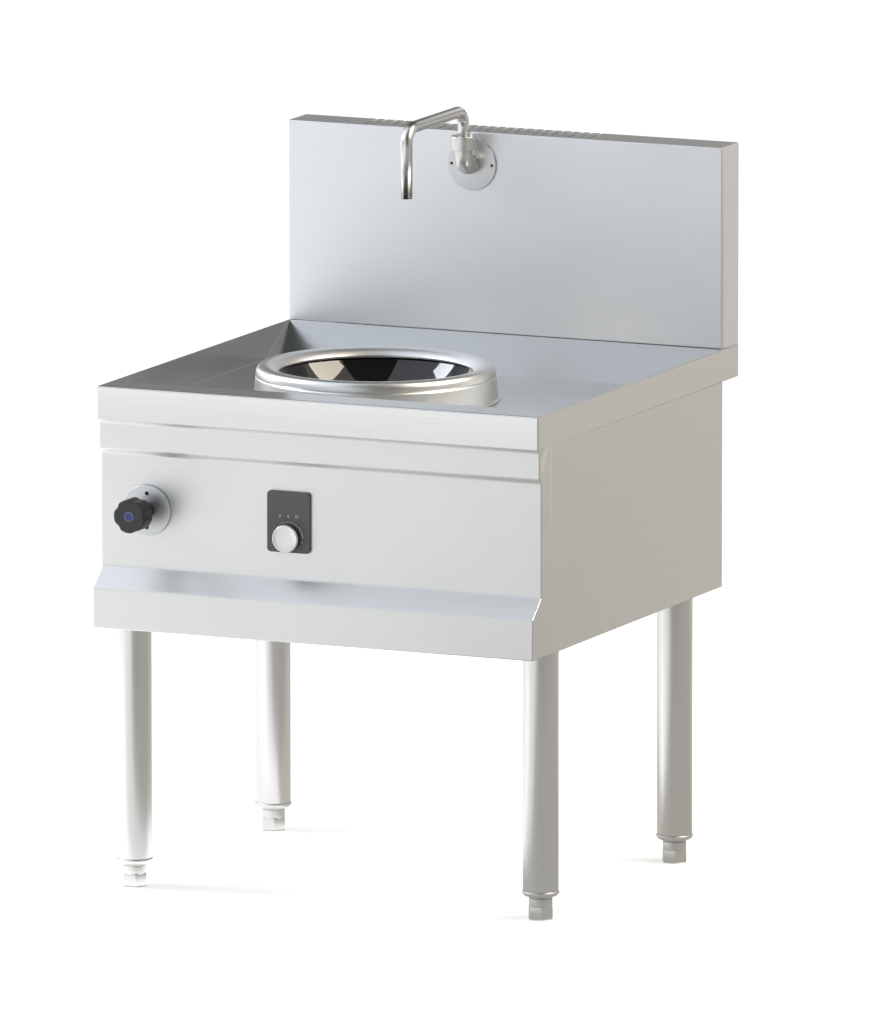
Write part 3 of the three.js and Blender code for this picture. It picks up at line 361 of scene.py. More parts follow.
def pull(bm, edges, by):
    """Pulls a strip of sheet out of some edges and returns its far edges."""
    out = bmesh.ops.extrude_edge_only(bm, edges=edges)["geom"]
    far = set(corners_in(out))
    bmesh.ops.translate(bm, verts=list(far), vec=by)
    return [g for g in out if isinstance(g, bmesh.types.BMEdge) and far.issuperset(g.verts)]


def at_depth(edge, y):
    """Whether an edge lies at this depth."""
    return all(near(v.co.y, y) for v in edge.verts)


def fill_round(bm, outline, radius, segments, place):
    """Fills a flat outline up to a round hole and returns the hole's edges."""
    hole = bmesh.ops.create_circle(
        bm, cap_ends=False, radius=radius, segments=segments, matrix=Matrix.Translation(place))
    hole_edges = list(dict.fromkeys(e for v in hole["verts"] for e in v.link_edges))
    bmesh.ops.triangle_fill(bm, use_beauty=True, edges=outline + hole_edges)
    return hole_edges


steel_worktop = brushed_sheet("stainless_worktop_brushed_fine", 0, 0.17, 0.23)

tray_half = HALF_WIDTH - HEM
slope_foot = SPLASH_FRONT - SLOPE_RUN
bm = spaced_grid(
    [-HALF_WIDTH, -tray_half, WELL.x - WELL_FRAME, WELL.x + WELL_FRAME, tray_half, HALF_WIDTH],
    [0, LEDGE, WELL.y - WELL_FRAME, WELL.y + WELL_FRAME, SPLASH_FRONT, RANGE_BACK], WORKTOP_TOP)
skirt = pull(bm, [e for e in bm.edges if e.is_boundary], (0, 0, RIM_BOTTOM - WORKTOP_TOP))
rear_skirt = [e for e in skirt if at_depth(e, RANGE_BACK)]
pull(bm, rear_skirt, (0, BODY_BACK + SHEET - RANGE_BACK, 0))
tray = faces_where(bm, lambda m, n: (
    near(m.z, WORKTOP_TOP) and abs(m.x) < tray_half and LEDGE < m.y < SPLASH_FRONT))
floor_corners = corners_in(bmesh.ops.extrude_face_region(bm, geom=tray)["geom"])
bmesh.ops.delete(bm, geom=tray, context="FACES")
bmesh.ops.translate(bm, verts=floor_corners, vec=(0, 0, TRAY_FLOOR - WORKTOP_TOP))
bmesh.ops.translate(
    bm, verts=[v for v in floor_corners if near(v.co.y, SPLASH_FRONT)], vec=(0, -SLOPE_RUN, 0))
around_well = faces_where(bm, lambda m, n: (m - WELL).length < 1 and n.z > 0.9)
frame_edges = list(around_well[0].edges)
bmesh.ops.delete(bm, geom=around_well, context="FACES_ONLY")
fill_round(bm, frame_edges, WELL_HOLE, TURN_STEPS, WELL)
bmesh.ops.recalc_face_normals(bm, faces=bm.faces)
bend(bm, OUTER_BEND, lambda m, d: (
    near(abs(m.x), HALF_WIDTH) and (abs(d.z) > 0.9 or near(m.z, WORKTOP_TOP))))
bend(bm, OUTER_BEND, lambda m, d: (
    abs(d.x) > 0.9 and near(m.z, WORKTOP_TOP) and (near(m.y, 0) or near(m.y, RANGE_BACK))))
bend(bm, OUTER_BEND, lambda m, d: (
    abs(d.x) > 0.9 and near(m.z, RIM_BOTTOM) and near(m.y, RANGE_BACK)))
bend(bm, INNER_BEND, lambda m, d: (
    abs(m.x) < HALF_WIDTH - 1 and LEDGE - 0.01 <= m.y < SPLASH_FRONT + 0.01
    and (near(abs(m.x), tray_half) or abs(d.x) > 0.9 and any(
        near(m.y, y) for y in (LEDGE, SPLASH_FRONT, slope_foot)))))
fold_sheet(finish_piece(
    "worktop_sheet", bm, steel_worktop, "cabinet", ["worktop"]))


# ---------------------------------------------------------------- splashback
# A folded stainless shell, open at the rear and closed by a flat cover. Its top is laser cut with
# a row of vent slots that run out through the rear edge.
SPLASH_HALF = 399
SPLASH_FOOT = 854.3
SPLASH_TOP = 1196
VENTS = 25
VENT_PITCH = 17.2
VENT_WIDTH = 5
VENT_FRONT = 783
FOOT_RETURN = 12
COVER_TOP = 1191.5
PLATE_EDGE = 0.4
GAP = 0.3
TAP_X = -58.4


def round_edges(bm, edges, offset, segments=2):
    """Rounds some edges of a mesh."""
    bmesh.ops.bevel(
        bm, geom=edges, offset=offset, segments=segments, profile=0.5, affect="EDGES",
        material=-1)


def plate(x_range, y_range, z_range, edge=0):
    """A flat plate with its edges broken."""
    bm = bmesh.new()
    ranges = (x_range, y_range, z_range)
    size = Matrix.Diagonal([high - low for low, high in ranges]).to_4x4()
    middle = Matrix.Translation([(low + high) / 2 for low, high in ranges])
    bmesh.ops.create_cube(bm, size=1.0, matrix=middle @ size)
    if edge:
        round_edges(bm, bm.edges[:], edge)
    return bm


# The splash's base colour is brighter and bluer than the worktop's stainless: painted light from
# above the front, on the same steel.
steel_splash_painted_light = brushed_sheet("stainless_splash_brushed_coarse_painted_light", 0, 0.44, 0.52, "#e2e4e6")
vent_middles = [TAP_X + (i - (VENTS - 1) / 2) * VENT_PITCH for i in range(VENTS)]
vent_sides = [x + side * VENT_WIDTH / 2 for x in vent_middles for side in (-1, 1)]
bm = spaced_grid(
    [-SPLASH_HALF, *vent_sides, SPLASH_HALF], [SPLASH_FRONT, VENT_FRONT, RANGE_BACK], SPLASH_TOP)
shell_edges = [e for e in bm.edges if e.is_boundary and not at_depth(e, RANGE_BACK)]
skirt = pull(bm, shell_edges, (0, 0, SPLASH_FOOT - SPLASH_TOP))
front_foot = [e for e in skirt if at_depth(e, SPLASH_FRONT)]
pull(bm, front_foot, (0, FOOT_RETURN, 0))
slots = faces_where(bm, lambda m, n: (
    near(m.z, SPLASH_TOP) and m.y > VENT_FRONT and any(abs(m.x - x) < 1 for x in vent_middles)))
bmesh.ops.delete(bm, geom=slots, context="FACES")
bmesh.ops.recalc_face_normals(bm, faces=bm.faces)
bend(bm, OUTER_BEND, lambda m, d: (
    abs(d.z) > 0.9 and near(m.y, SPLASH_FRONT) and near(abs(m.x), SPLASH_HALF)))
bend(bm, OUTER_BEND, lambda m, d: (
    near(m.z, SPLASH_TOP) and (near(m.y, SPLASH_FRONT) or near(abs(m.x), SPLASH_HALF))))
bend(bm, OUTER_BEND, lambda m, d: (
    near(m.z, SPLASH_FOOT) and near(m.y, SPLASH_FRONT) and abs(d.x) > 0.9))
fold_sheet(finish_piece(
    "splash_shell", bm, steel_splash_painted_light, "cabinet", ["splash_front"]))

cover_half = SPLASH_HALF - SHEET - GAP
bm = plate(
    (-cover_half, cover_half), (RANGE_BACK - SHEET, RANGE_BACK), (SPLASH_FOOT, COVER_TOP),
    PLATE_EDGE)
finish_piece(
    "splash_cover_sheet", bm, steel_splash_painted_light, "cabinet", ["splash_back_cover"])


# ---------------------------------------------------------------- cabinet panels
# The fascia is one folded stainless sheet with a lip, a band, the panel face, a slope and the kick,
# and short cheeks. Side, back and bottom panels are screwed to it and to the base frame.
BODY_HALF = 399
BODY_BOTTOM = 450
BODY_TOP = 798.7
BACK_PANEL_TOP = 796.9
CHEEK_BACK = 54
BOTTOM_RETURN = 40
PANEL_FACE = 15.7
SIDE_RETURN = 15
FASCIA_BEND, SIDE_BEND = 2.0, 1.5
FASCIA_LINE = [
    (13, BODY_TOP), (1.4, BODY_TOP), (7.4, 792.7), (7.4, 749), (PANEL_FACE, 740.7),
    (PANEL_FACE, 550), (-19.8, 518), (-19.8, BODY_BOTTOM), (BOTTOM_RETURN, BODY_BOTTOM),
    (CHEEK_BACK, BODY_BOTTOM), (CHEEK_BACK, BODY_TOP)]


def thicken(bm, faces, by):
    """Makes a solid of flat faces by drawing out a copy of them."""
    copy = bmesh.ops.extrude_face_region(bm, geom=faces, use_keep_orig=True)["geom"]
    bmesh.ops.translate(bm, verts=corners_in(copy), vec=by)
    bmesh.ops.recalc_face_normals(bm, faces=bm.faces)


steel_across = brushed_sheet("stainless_panel_brushed_across", 0, 0.36, 0.44)
steel_deep = brushed_sheet("stainless_panel_brushed_deep", 1, 0.36, 0.44)
bm = bmesh.new()
cheek = bm.faces.new([bm.verts.new((-BODY_HALF, y, z)) for y, z in FASCIA_LINE])
thicken(bm, [cheek], (2 * BODY_HALF, 0, 0))
open_faces = faces_where(bm, lambda m, n: (
    near(m.y, CHEEK_BACK) or n.z > 0.99 and m.y > PANEL_FACE
    or n.z < -0.99 and m.y > BOTTOM_RETURN))
bmesh.ops.delete(bm, geom=open_faces, context="FACES")
bend(bm, FASCIA_BEND, lambda m, d: m.y < BOTTOM_RETURN - 1 and m.z < BODY_TOP - 1)
fold_sheet(finish_piece(
    "fascia_sheet", bm, steel_across, "cabinet", ["front_fascia"]))

side_front = CHEEK_BACK + GAP
for name, side in (("left", -1), ("right", 1)):
    inner, outer = side * (BODY_HALF - SIDE_RETURN), side * BODY_HALF
    bm = plate(sorted((inner, outer)), (side_front, BODY_BACK), (BODY_BOTTOM, BODY_TOP))
    unfolded = faces_where(bm, lambda m, n: (
        near(m.x, inner) or near(m.y, BODY_BACK) or near(m.z, BODY_BOTTOM)))
    bmesh.ops.delete(bm, geom=unfolded, context="FACES")
    bend(bm, SIDE_BEND, lambda m, d: (
        near(m.x, outer) and (near(m.y, side_front) or near(m.z, BODY_TOP))))
    fold_sheet(finish_piece(
        f"side_sheet_{name}", bm, steel_deep, "cabinet",
        [f"side_panel_{name}"]))

back_half = BODY_HALF - SHEET - GAP
bm = plate(
    (-back_half, back_half), (BODY_BACK - SHEET, BODY_BACK), (BODY_BOTTOM, BACK_PANEL_TOP),
    PLATE_EDGE)
finish_piece("back_sheet", bm, steel_across, "cabinet", ["back_panel"])


def dress(nodes, material):
    """Gives solids that stay in view their finish."""
    for name in nodes:
        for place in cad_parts[name].material_slots:
            place.material = material


dress(["bottom_panel", "bowl_support"], steel_deep)


# ---------------------------------------------------------------- legs
# Four tubes of polished stainless, 60 mm across. Each has a turned insert with a bead pressed into
# its foot, and a hexagonal levelling foot screwed into that.
LEG_X = 370
LEG_Y = {"front": 79.5, "rear": 640.3}
LEG_RADIUS = 29.75
LEG_LOW, LEG_HIGH = 48.3, 449.7
TUBE_WALL = [
    (LEG_RADIUS - SHEET, LEG_LOW, 0), (LEG_RADIUS, LEG_LOW, 0.4), (LEG_RADIUS, LEG_HIGH, 0.4),
    (LEG_RADIUS - SHEET, LEG_HIGH, 0)]
LEG_INSERT = [
    (8.3, 36, 0), (19.7, 36, 0.8), (21.5, 38.2, 1.2), (27.6, 40.2, 1.5), (31.25, 44.2, 1.2),
    (31.25, 47.4, 1.0), (29.6, 48.2, 0), (28, 48.2, 0), (28, 75, 0.6), (8.3, 75, 0)]
FOOT_FLATS = 38
FOOT_HEX_HEIGHT, FOOT_HEX_EDGE = 22, 0.5
FOOT_STEM = [
    (0, 21, 0), (19.0, 21, 0), (19.7, 22.4, 0.3), (19.7, 35.7, 0.6), (8, 35.7, 0),
    (8, 95.7, 0.8), (0, 95.7, 0)]
WELD = 1e-4
FACING = {
    "Z": Matrix(), "Z_turned": Matrix.Rotation(math.radians(30), 4, "Z"),
    "front": Matrix.Rotation(math.pi / 2, 4, "X"), "back": Matrix.Rotation(-math.pi / 2, 4, "X")}


def turned(profile, steps=TURN_STEPS, facing="Z", place=(0, 0, 0), closed=False):
    """Turns a wire of (radius, height, rounding) about its axis. On the front, heights go to -Y."""
    bm = bmesh.new()
    corners = [bm.verts.new((radius, 0, height)) for radius, height, _ in profile]
    for near_end, far_end in zip(corners, corners[1:]):
        bm.edges.new((near_end, far_end))
    if closed:
        bm.edges.new((corners[-1], corners[0]))
    for corner, (_, _, rounding) in zip(corners, profile):
        if rounding:
            bmesh.ops.bevel(
                bm, geom=[corner], offset=rounding, segments=5, profile=0.5, affect="VERTICES",
                material=-1)
    spin_round(bm, steps)
    bmesh.ops.transform(bm, matrix=Matrix.Translation(place) @ FACING[facing], verts=bm.verts)
    return bm


def spin_round(bm, steps):
    """Spins a wire once about Z into a closed skin."""
    bmesh.ops.spin(
        bm, geom=bm.verts[:] + bm.edges[:], cent=(0, 0, 0), axis=(0, 0, 1), angle=2 * math.pi,
        steps=steps, use_merge=True)
    bmesh.ops.remove_doubles(bm, verts=bm.verts, dist=WELD)
    bmesh.ops.recalc_face_normals(bm, faces=bm.faces)


def hexagon_bar(flats, low, high, facing, place, edge):
    """A hexagonal bar along an axis with its edges broken."""
    bm = bmesh.new()
    bmesh.ops.create_circle(
        bm, cap_ends=True, segments=6, radius=flats / math.sqrt(3),
        matrix=Matrix.Translation((0, 0, low)))
    thicken(bm, bm.faces[:], (0, 0, high - low))
    round_edges(bm, bm.edges[:], edge)
    bmesh.ops.transform(bm, matrix=Matrix.Translation(place) @ FACING[facing], verts=bm.verts)
    return bm


def merge(*parts):
    """Puts several shapes into one mesh."""
    whole = bmesh.new()
    for part in parts:
        mesh = bpy.data.meshes.new("part")
        part.to_mesh(mesh)
        part.free()
        whole.from_mesh(mesh)
        bpy.data.meshes.remove(mesh)
    return whole


def polished(name, code, low, high):
    """Stainless, ground and buffed: clear reflections, slightly drawn out by fine turning marks.
    The marks are 0.05 mm apart, too fine to show, so they are drawn 1 mm apart."""
    material, tree = new_finish(name)
    surface(tree, {
        "Base Color": colour(code), "Metallic": 1.0,
        "Roughness": wear(tree, noise(tree, 0.001, 1.0), noise(tree, 1 / 12, 2.0), low, high)})
    return material


polished_tube = polished("stainless_tube_polished", "#dcdcda", 0.27, 0.33)
satin_turning = polished("stainless_turning_satin", "#dcdcda", 0.36, 0.44)
# The flanges' base colour is darker and bluer than the other turnings: painted shade, on the same
# steel.
satin_flange_painted_shade = polished("stainless_flange_satin_painted_shade", "#ccced0", 0.38, 0.46)

for depth_name, leg_y in LEG_Y.items():
    for side_name, leg_x in (("left", -LEG_X), ("right", LEG_X)):
        leg = f"{depth_name}_{side_name}"
        place = (leg_x, leg_y, 0)
        finish_piece(
            f"leg_pipe_{leg}", turned(TUBE_WALL, place=place, closed=True), polished_tube,
            "cabinet", [f"leg_tube_{leg}"])
        finish_piece(
            f"leg_bead_{leg}", turned(LEG_INSERT, place=place, closed=True), satin_turning,
            "cabinet", [f"leg_insert_{leg}"])
        hexagon = hexagon_bar(FOOT_FLATS, 0, FOOT_HEX_HEIGHT, "Z_turned", place, FOOT_HEX_EDGE)
        finish_piece(
            f"foot_turning_{leg}", merge(hexagon, turned(FOOT_STEM, place=place)), satin_turning,
            f"foot_{leg}", [f"levelling_foot_{leg}"])

# Mild steel, grey primer sprayed on: even, with a fine orange peel.
primer, tree = new_finish("steel_primed_grey")
surface(tree, {
    "Base Color": colour("#8f9192"), "Roughness": 0.55, "Metallic": 0.3,
    "Normal": bump(tree, noise(tree, 0.003, 2.0), 0.2, 0.0003)})
sockets = [f"leg_socket_{depth}_{side}" for depth in LEG_Y for side in ("left", "right")]
rails = [f"frame_rail_{side}" for side in ("front", "rear", "left", "right")]
dress([*sockets, *rails, "generator_case"], primer)


# ---------------------------------------------------------------- wok well
# A spun stainless ring, polished, stands on the tray round a bowl of black glass ceramic. The
# copper coil, its mica carrier and the brass sensor are clamped underneath, out of sight.
RING = [
    (202.5, 0.3, 0), (208.5, 0.3, 0.4), (208.5, 2.0, 0.6), (204.5, 4.2, 2.5), (201.5, 38.0, 0.7),
    (199.8, 39.9, 0.5), (201.2, 41.6, 0.8), (199.4, 52.4, 4.2), (193, 58.2, 4.2),
    (180, 58.4, 6.0), (170, 53.5, 5.0), (163, 46.6, 1.5), (163, 42.6, 0.4), (165.6, 42.6, 0),
    (174, 51.2, 0), (183, 55.4, 0), (191, 55.2, 0), (196.4, 50.3, 0), (198.4, 8, 0)]
RING_STEPS = 160
BOWL_MOUTH = 168
BOWL_DEPTH = 104
BOWL_TOP = 42.2
BOWL_WALL = 6
BOWL_FLANGE = 193
BOWL_STEPS, BOWL_TURN_STEPS = 28, 128
COIL_HEIGHT = 0.82
WIRE_PITCH = 0.004


def grained(name, code, low, high, size, detail=2.0, relief=None, more=None):
    """A finish whose roughness runs from low to high in grains of this size in metres. Relief is
    its strength and its height in metres."""
    material, tree = new_finish(name)
    grain = noise(tree, size, detail)
    inputs = {"Base Color": colour(code), "Roughness": between(tree, grain, low, high)}
    if relief:
        inputs["Normal"] = bump(tree, grain, *relief)
    surface(tree, inputs | (more or {}))
    return material


def blend(tree, share, first, second):
    """A colour that goes from the first to the second with the share."""
    return add(tree, "Mix", {
        0: share, 6: colour(first), 7: colour(second)}, data_type="RGBA").outputs[2]


# The ring's base colour is brighter than the other stainless: painted light that lifts the ring, on
# the same steel.
ring_steel_painted_light = polished("stainless_ring_satin_painted_light", "#eaebeb", 0.34, 0.4)
finish_piece(
    "ring_turning", turned(RING, steps=RING_STEPS, place=WELL, closed=True), ring_steel_painted_light, "cabinet",
    ["wok_ring"])

# Glass ceramic, fired black and fire polished: a deep gloss with sharp reflections.
glass = grained(
    "glass_ceramic_black_polished", "#101011", 0.03, 0.06, 0.004,
    more={"IOR": 1.54, "Coat Weight": 0.3, "Coat Roughness": 0.02})
bowl_radius = (BOWL_MOUTH ** 2 + BOWL_DEPTH ** 2) / (2 * BOWL_DEPTH)
bowl_centre = Vector((0, 0, BOWL_TOP - BOWL_DEPTH + bowl_radius))
bm = bmesh.new()
bottom = bm.verts.new((0, 0, BOWL_TOP - BOWL_DEPTH))
mouth = bmesh.ops.spin(
    bm, geom=[bottom], cent=bowl_centre, axis=(0, -1, 0),
    angle=math.asin(BOWL_MOUTH / bowl_radius), steps=BOWL_STEPS)["geom_last"]
bm.edges.new((corners_in(mouth)[0], bm.verts.new((BOWL_FLANGE, 0, BOWL_TOP))))
spin_round(bm, BOWL_TURN_STEPS)
if sum(f.normal.z for f in bm.faces) < 0:
    bmesh.ops.reverse_faces(bm, faces=bm.faces)
bmesh.ops.transform(bm, matrix=Matrix.Translation(WELL), verts=bm.verts)
bowl = finish_piece("bowl_glass", bm, glass, "cabinet", ["wok_bowl"], smooth=40)
give_wall(bowl, "glass", BOWL_WALL)

# Silicone rubber, moulded: matt grey with a fine bloom.
silicone = grained(
    "silicone_rubber_moulded", "#6a6a68", 0.6, 0.8, 0.005, detail=3.0, more={"IOR": 1.41})
dress(["ring_seal"], silicone)

# Copper litz, wound flat and varnished: rings of warm brown wire, 4 mm apart. A wave of scale 1
# repeats twenty times in a metre.
litz, tree = new_finish("copper_litz_wound")
centred = add(tree, "Mapping", {
    "Vector": add(tree, "TexCoord", {}).outputs["Object"],
    "Location": (-WELL.x / 1000, -(WELL.y / 1000 + FRONT), -COIL_HEIGHT)})
turns = add(
    tree, "TexWave", {"Vector": centred.outputs[0], "Scale": 1 / (WIRE_PITCH * 20)},
    wave_type="RINGS", rings_direction="SPHERICAL").outputs["Fac"]
surface(tree, {
    "Base Color": colour("#a8603a"), "Metallic": 0.7, "Roughness": between(tree, turns, 0.45, 0.7),
    "Normal": bump(tree, turns, 0.6, 0.001)})
dress(["induction_coil"], litz)

# Mica board, pressed and bonded: pale brown flakes with a pearly sheen.
mica, tree = new_finish("mica_board_pressed")
flakes = add(tree, "TexVoronoi", {
    "Vector": add(tree, "TexCoord", {}).outputs["Object"], "Scale": 1 / 0.004})
surface(tree, {
    "Base Color": blend(tree, flakes.outputs["Distance"], "#b5a98f", "#8f8370"),
    "Roughness": 0.6, "IOR": 1.58})
dress(["coil_carrier"], mica)


# ---------------------------------------------------------------- generator
# A circuit board with its heat sink over a box fan, in a primed case under the well. The fan draws
# air through slots in the bottom panel.

# Fibreglass board under green solder resist: satin, with faint copper lands.
board, tree = new_finish("fibreglass_board_green_resist")
lands = add(tree, "TexVoronoi", {
    "Vector": add(tree, "TexCoord", {}).outputs["Object"], "Scale": 1 / 0.008},
    distance="MANHATTAN")
surface(tree, {
    "Base Color": blend(tree, lands.outputs["Distance"], "#3f6d4a", "#2a5237"),
    "Roughness": 0.45, "IOR": 1.55})
dress(["power_board"], board)

# Aluminium, extruded: bright grey with drawing lines along the fins, drawn 2 mm apart to show.
extrusion, tree = new_finish("aluminium_extruded")
drawn = add(tree, "Mapping", {
    "Vector": add(tree, "TexCoord", {}).outputs["Object"], "Scale": (500, 4, 500)})
lines = add(tree, "TexNoise", {"Vector": drawn.outputs[0], "Scale": 1.0, "Detail": 2.0})
surface(tree, {
    "Base Color": colour("#c0c2c3"), "Metallic": 1.0,
    "Roughness": between(tree, lines.outputs[0], 0.35, 0.5)})
dress(["heat_sink", "pot_shaft"], extrusion)


def moulded(name, code, rough, ior=1.5):
    """A moulded plastic: satin, with the fine spark-eroded grain of its tool."""
    return grained(
        name, code, rough - 0.06, rough + 0.06, 0.0015, relief=(0.08, 0.0002), more={"IOR": ior})


black_nylon = moulded("nylon_black_moulded", "#2b2c2b", 0.5, ior=1.53)
dress(["fan_frame", "fan_rotor", "control_pot"], black_nylon)


# ---------------------------------------------------------------- mains connection
# A black nylon cable gland in the back panel, with its lock nut and domed cap, and a white terminal
# block behind it. The back panel's screws stand round the edge.
MAINS = (250, BODY_BACK, 520)
GLAND_BODY = [
    (7, -14, 0), (12, -14, 0.6), (12, 3, 0), (13.4, 3, 0), (13.4, 9.5, 0.8), (11, 12.3, 1.5),
    (7, 12.3, 0.6)]
GLAND_FLATS, GLAND_NUT_TOP = 30, 6.5
NUT_EDGE = 0.6
BACK_SCREW = [(0, 2.2, 0), (2.2, 2.2, 0.5), (4.2, 0.9, 0.6), (4.2, 0, 0), (0, 0, 0)]
BACK_SCREWS = [(x, z) for x in (-380, 0, 380) for z in (465, 782)] + [(-380, 623), (380, 623)]

# Blackened steel screws: a thin dark oxide over turned steel, with a dull sheen.
blackened = grained("steel_screws_blackened", "#0e0e0f", 0.5, 0.65, 0.001)

finish_piece(
    "gland_moulding", merge(
        turned(GLAND_BODY, steps=48, facing="back", place=MAINS, closed=True),
        hexagon_bar(GLAND_FLATS, GAP, GLAND_NUT_TOP, "back", MAINS, NUT_EDGE)),
    black_nylon, "cabinet", ["cable_gland"])
white_nylon = moulded("nylon_white_moulded", "#e2e0d8", 0.5, ior=1.53)
dress(["terminal_block"], white_nylon)

screws = [
    turned(BACK_SCREW, steps=24, facing="back", place=(x, BODY_BACK, z)) for x, z in BACK_SCREWS]
finish_piece("back_panel_screws", merge(*screws), blackened, "cabinet")


# ---------------------------------------------------------------- power control
# A grey moulded plate with a printed scale stands on the panel face. The black skirt of the knob
# turns in front of it and carries a silver cap with a shallow dish.
CONTROL = (-56, PANEL_FACE, 620.5)
PLATE_HALF = 38.8
PLATE_LOW, PLATE_HIGH = -25.15, 77.35
PLATE_FRONT = 5.3
PLATE_CORNER, PLATE_RIM = 6.5, 1.0
PRINT = 0.08
SCALE_RADIUS = 26.2
SCALE_FROM, SCALE_TO, SCALE_DOT = 150, 0, -14
SCALE_THIN, SCALE_GROWTH = 0.1, 0.5
SCALE_STEPS = 48
DOT_RADIUS = 1.0
NUMBERS = (("0", -15), ("6", 0), ("12", 15))
NUMBER_HEIGHT, NUMBER_SIZE, NUMBER_WEIGHT = 34, 6.0, 0.12
KNOB_SKIRT = [
    (3.3, 5.9, 0), (21.5, 5.9, 0.5), (20, 14.9, 0.4), (0, 14.9, 0), (0, 13.4, 0), (3.3, 13.4, 0)]
KNOB_DISC = [
    (0, 15.2, 0), (21.8, 15.2, 0), (23, 16.2, 0.8), (23, 20.2, 1.0), (21.2, 21.2, 0.8),
    (18.6, 19.9, 2.0), (10, 18.3, 4.0), (0, 17.8, 0)]

grey_abs = moulded("abs_grey_moulded", "#4c4f4d", 0.45)
ink_plane = PANEL_FACE - PLATE_FRONT
bm = plate(
    (CONTROL[0] - PLATE_HALF, CONTROL[0] + PLATE_HALF), (ink_plane, PANEL_FACE - GAP),
    (CONTROL[2] + PLATE_LOW, CONTROL[2] + PLATE_HIGH))
upright = [
    e for e in bm.edges
    if near(e.verts[0].co.x, e.verts[1].co.x) and near(e.verts[0].co.z, e.verts[1].co.z)]
round_edges(bm, upright, PLATE_CORNER, segments=8)
rim = [e for e in bm.edges if at_depth(e, ink_plane)]
round_edges(bm, rim, PLATE_RIM, segments=4)
control_plate = finish_piece(
    "control_plate_moulding", bm, grey_abs, "cabinet", ["control_plate"])
control_plate.modifiers.new("flats", "WEIGHTED_NORMAL").keep_sharp = True

# White screen print: flat ink, a little raised.
ink = grained("screen_print_white", "#bcbdbb", 0.45, 0.6, 0.001, detail=1.0)


def printed(bm):
    """Gives a flat mark, drawn in X and Z at the plate's face, the thickness of its ink."""
    bmesh.ops.remove_doubles(bm, verts=bm.verts, dist=WELD)
    thicken(bm, bm.faces[:], (0, -PRINT, 0))
    return bm


def on_scale(radius, angle):
    """The place on the plate's face at a radius and an angle from the knob's axis."""
    return axis + Vector((radius * math.cos(angle), 0, radius * math.sin(angle)))


axis = Vector((CONTROL[0], ink_plane, CONTROL[2]))
start, sweep_angle = math.radians(SCALE_FROM), math.radians(SCALE_FROM - SCALE_TO)
arc = bmesh.new()
ends = [arc.verts.new(on_scale(SCALE_RADIUS + side * SCALE_THIN, start)) for side in (-1, 1)]
bmesh.ops.spin(
    arc, geom=[*ends, arc.edges.new(ends)], cent=axis, axis=(0, 1, 0), angle=sweep_angle,
    steps=SCALE_STEPS)
for v in arc.verts:
    arm = v.co - axis
    turn = (start - math.atan2(arm.z, arm.x)) / sweep_angle
    side = 1 if arm.length > SCALE_RADIUS else -1
    half_line = SCALE_THIN + SCALE_GROWTH * turn
    v.co = axis + arm.normalized() * (SCALE_RADIUS + side * half_line)
dot = bmesh.new()
bmesh.ops.create_circle(
    dot, cap_ends=True, segments=24, radius=DOT_RADIUS, matrix=Matrix.Translation(
        on_scale(SCALE_RADIUS, math.radians(SCALE_DOT))) @ FACING["front"])
finish_piece(
    "power_scale_print", merge(printed(arc), printed(dot)), ink, "cabinet")

for number, across in NUMBERS:
    letters = bpy.data.curves.new("scale_number", "FONT")
    letters.body = number
    letters.size = NUMBER_SIZE
    letters.align_x = "CENTER"
    letters.extrude = PRINT
    letters.offset = NUMBER_WEIGHT
    typed = bpy.data.objects.new("scale_number", letters)
    scene.collection.objects.link(typed)
    mesh = bpy.data.meshes.new_from_object(typed)
    bpy.data.objects.remove(typed)
    bm = bmesh.new()
    bm.from_mesh(mesh)
    bpy.data.meshes.remove(mesh)
    bmesh.ops.remove_doubles(bm, verts=bm.verts, dist=WELD)
    bmesh.ops.transform(
        bm, verts=bm.verts, matrix=Matrix.Translation(
            axis + Vector((across, 0, NUMBER_HEIGHT))) @ FACING["front"])
    finish_piece(f"scale_number_{number}", bm, ink, "cabinet")

black_abs = moulded("abs_black_moulded", "#232423", 0.45)
finish_piece(
    "knob_skirt", turned(KNOB_SKIRT, facing="front", place=CONTROL), black_abs, "power_knob",
    ["control_knob"])

# Silver lacquer on moulded ABS: metallic flake under a clear coat.
silver = grained(
    "abs_silver_lacquered", "#dcdddc", 0.28, 0.4, 0.0008, detail=1.0, more={"Metallic": 0.6})
finish_piece(
    "knob_disc", turned(KNOB_DISC, facing="front", place=CONTROL), silver, "power_knob",
    ["knob_cap"])


# ---------------------------------------------------------------- water valve
# A brass valve behind the panel face. In front are a turned stainless flange with two screws, the
# spindle, and a black lobed handwheel with a blue button in a pale ring.
VALVE = (-313.5, PANEL_FACE, 649)
CASTING = [
    (0, -51.5, 0), (18, -51.5, 1.0), (18, -7.8, 1.0), (36, -7.8, 0.8), (36, -1.8, 0.5),
    (9, -1.8, 0), (9, 22, 0.8), (5.3, 22, 0), (5.3, -28, 0), (0, -28, 0)]
PORT_Y = PANEL_FACE + 38
PORTS = [(0, -35, 0), (11, -35, 0.8), (11, 35, 0.8), (0, 35, 0)]
VALVE_FLANGE = [(9.3, 0.3, 0), (42.5, 0.3, 0.3), (42.5, 5.3, 1.2), (9.3, 5.3, 0.3)]
VALVE_SCREW = [
    (0, -7.5, 0), (2, -7.5, 0), (2, 0.3, 0), (3, 0.3, 0), (3, 5.4, 0), (3.5, 5.4, 0),
    (3.5, 5.9, 0.3), (1.6, 5.9, 0), (1.5, 5.5, 0), (0, 5.5, 0)]
VALVE_SCREW_OUT = 28.5
SPINDLE = [(0, -28, 0), (5, -28, 0.5), (5, 70.4, 0.5), (0, 70.4, 0)]
WHEEL_RADIUS = 28.4
WHEEL_FRONT, WHEEL_DEPTH = 76.7, 35
WHEEL_INNER, WHEEL_POCKET, WHEEL_EDGE = 0.8, 3, 3.0
FLUTES, FLUTE_RADIUS, FLUTE_DEPTH, FIRST_FLUTE = 5, 14, 2.6, 140
FLUTE_SMOOTHING = 6
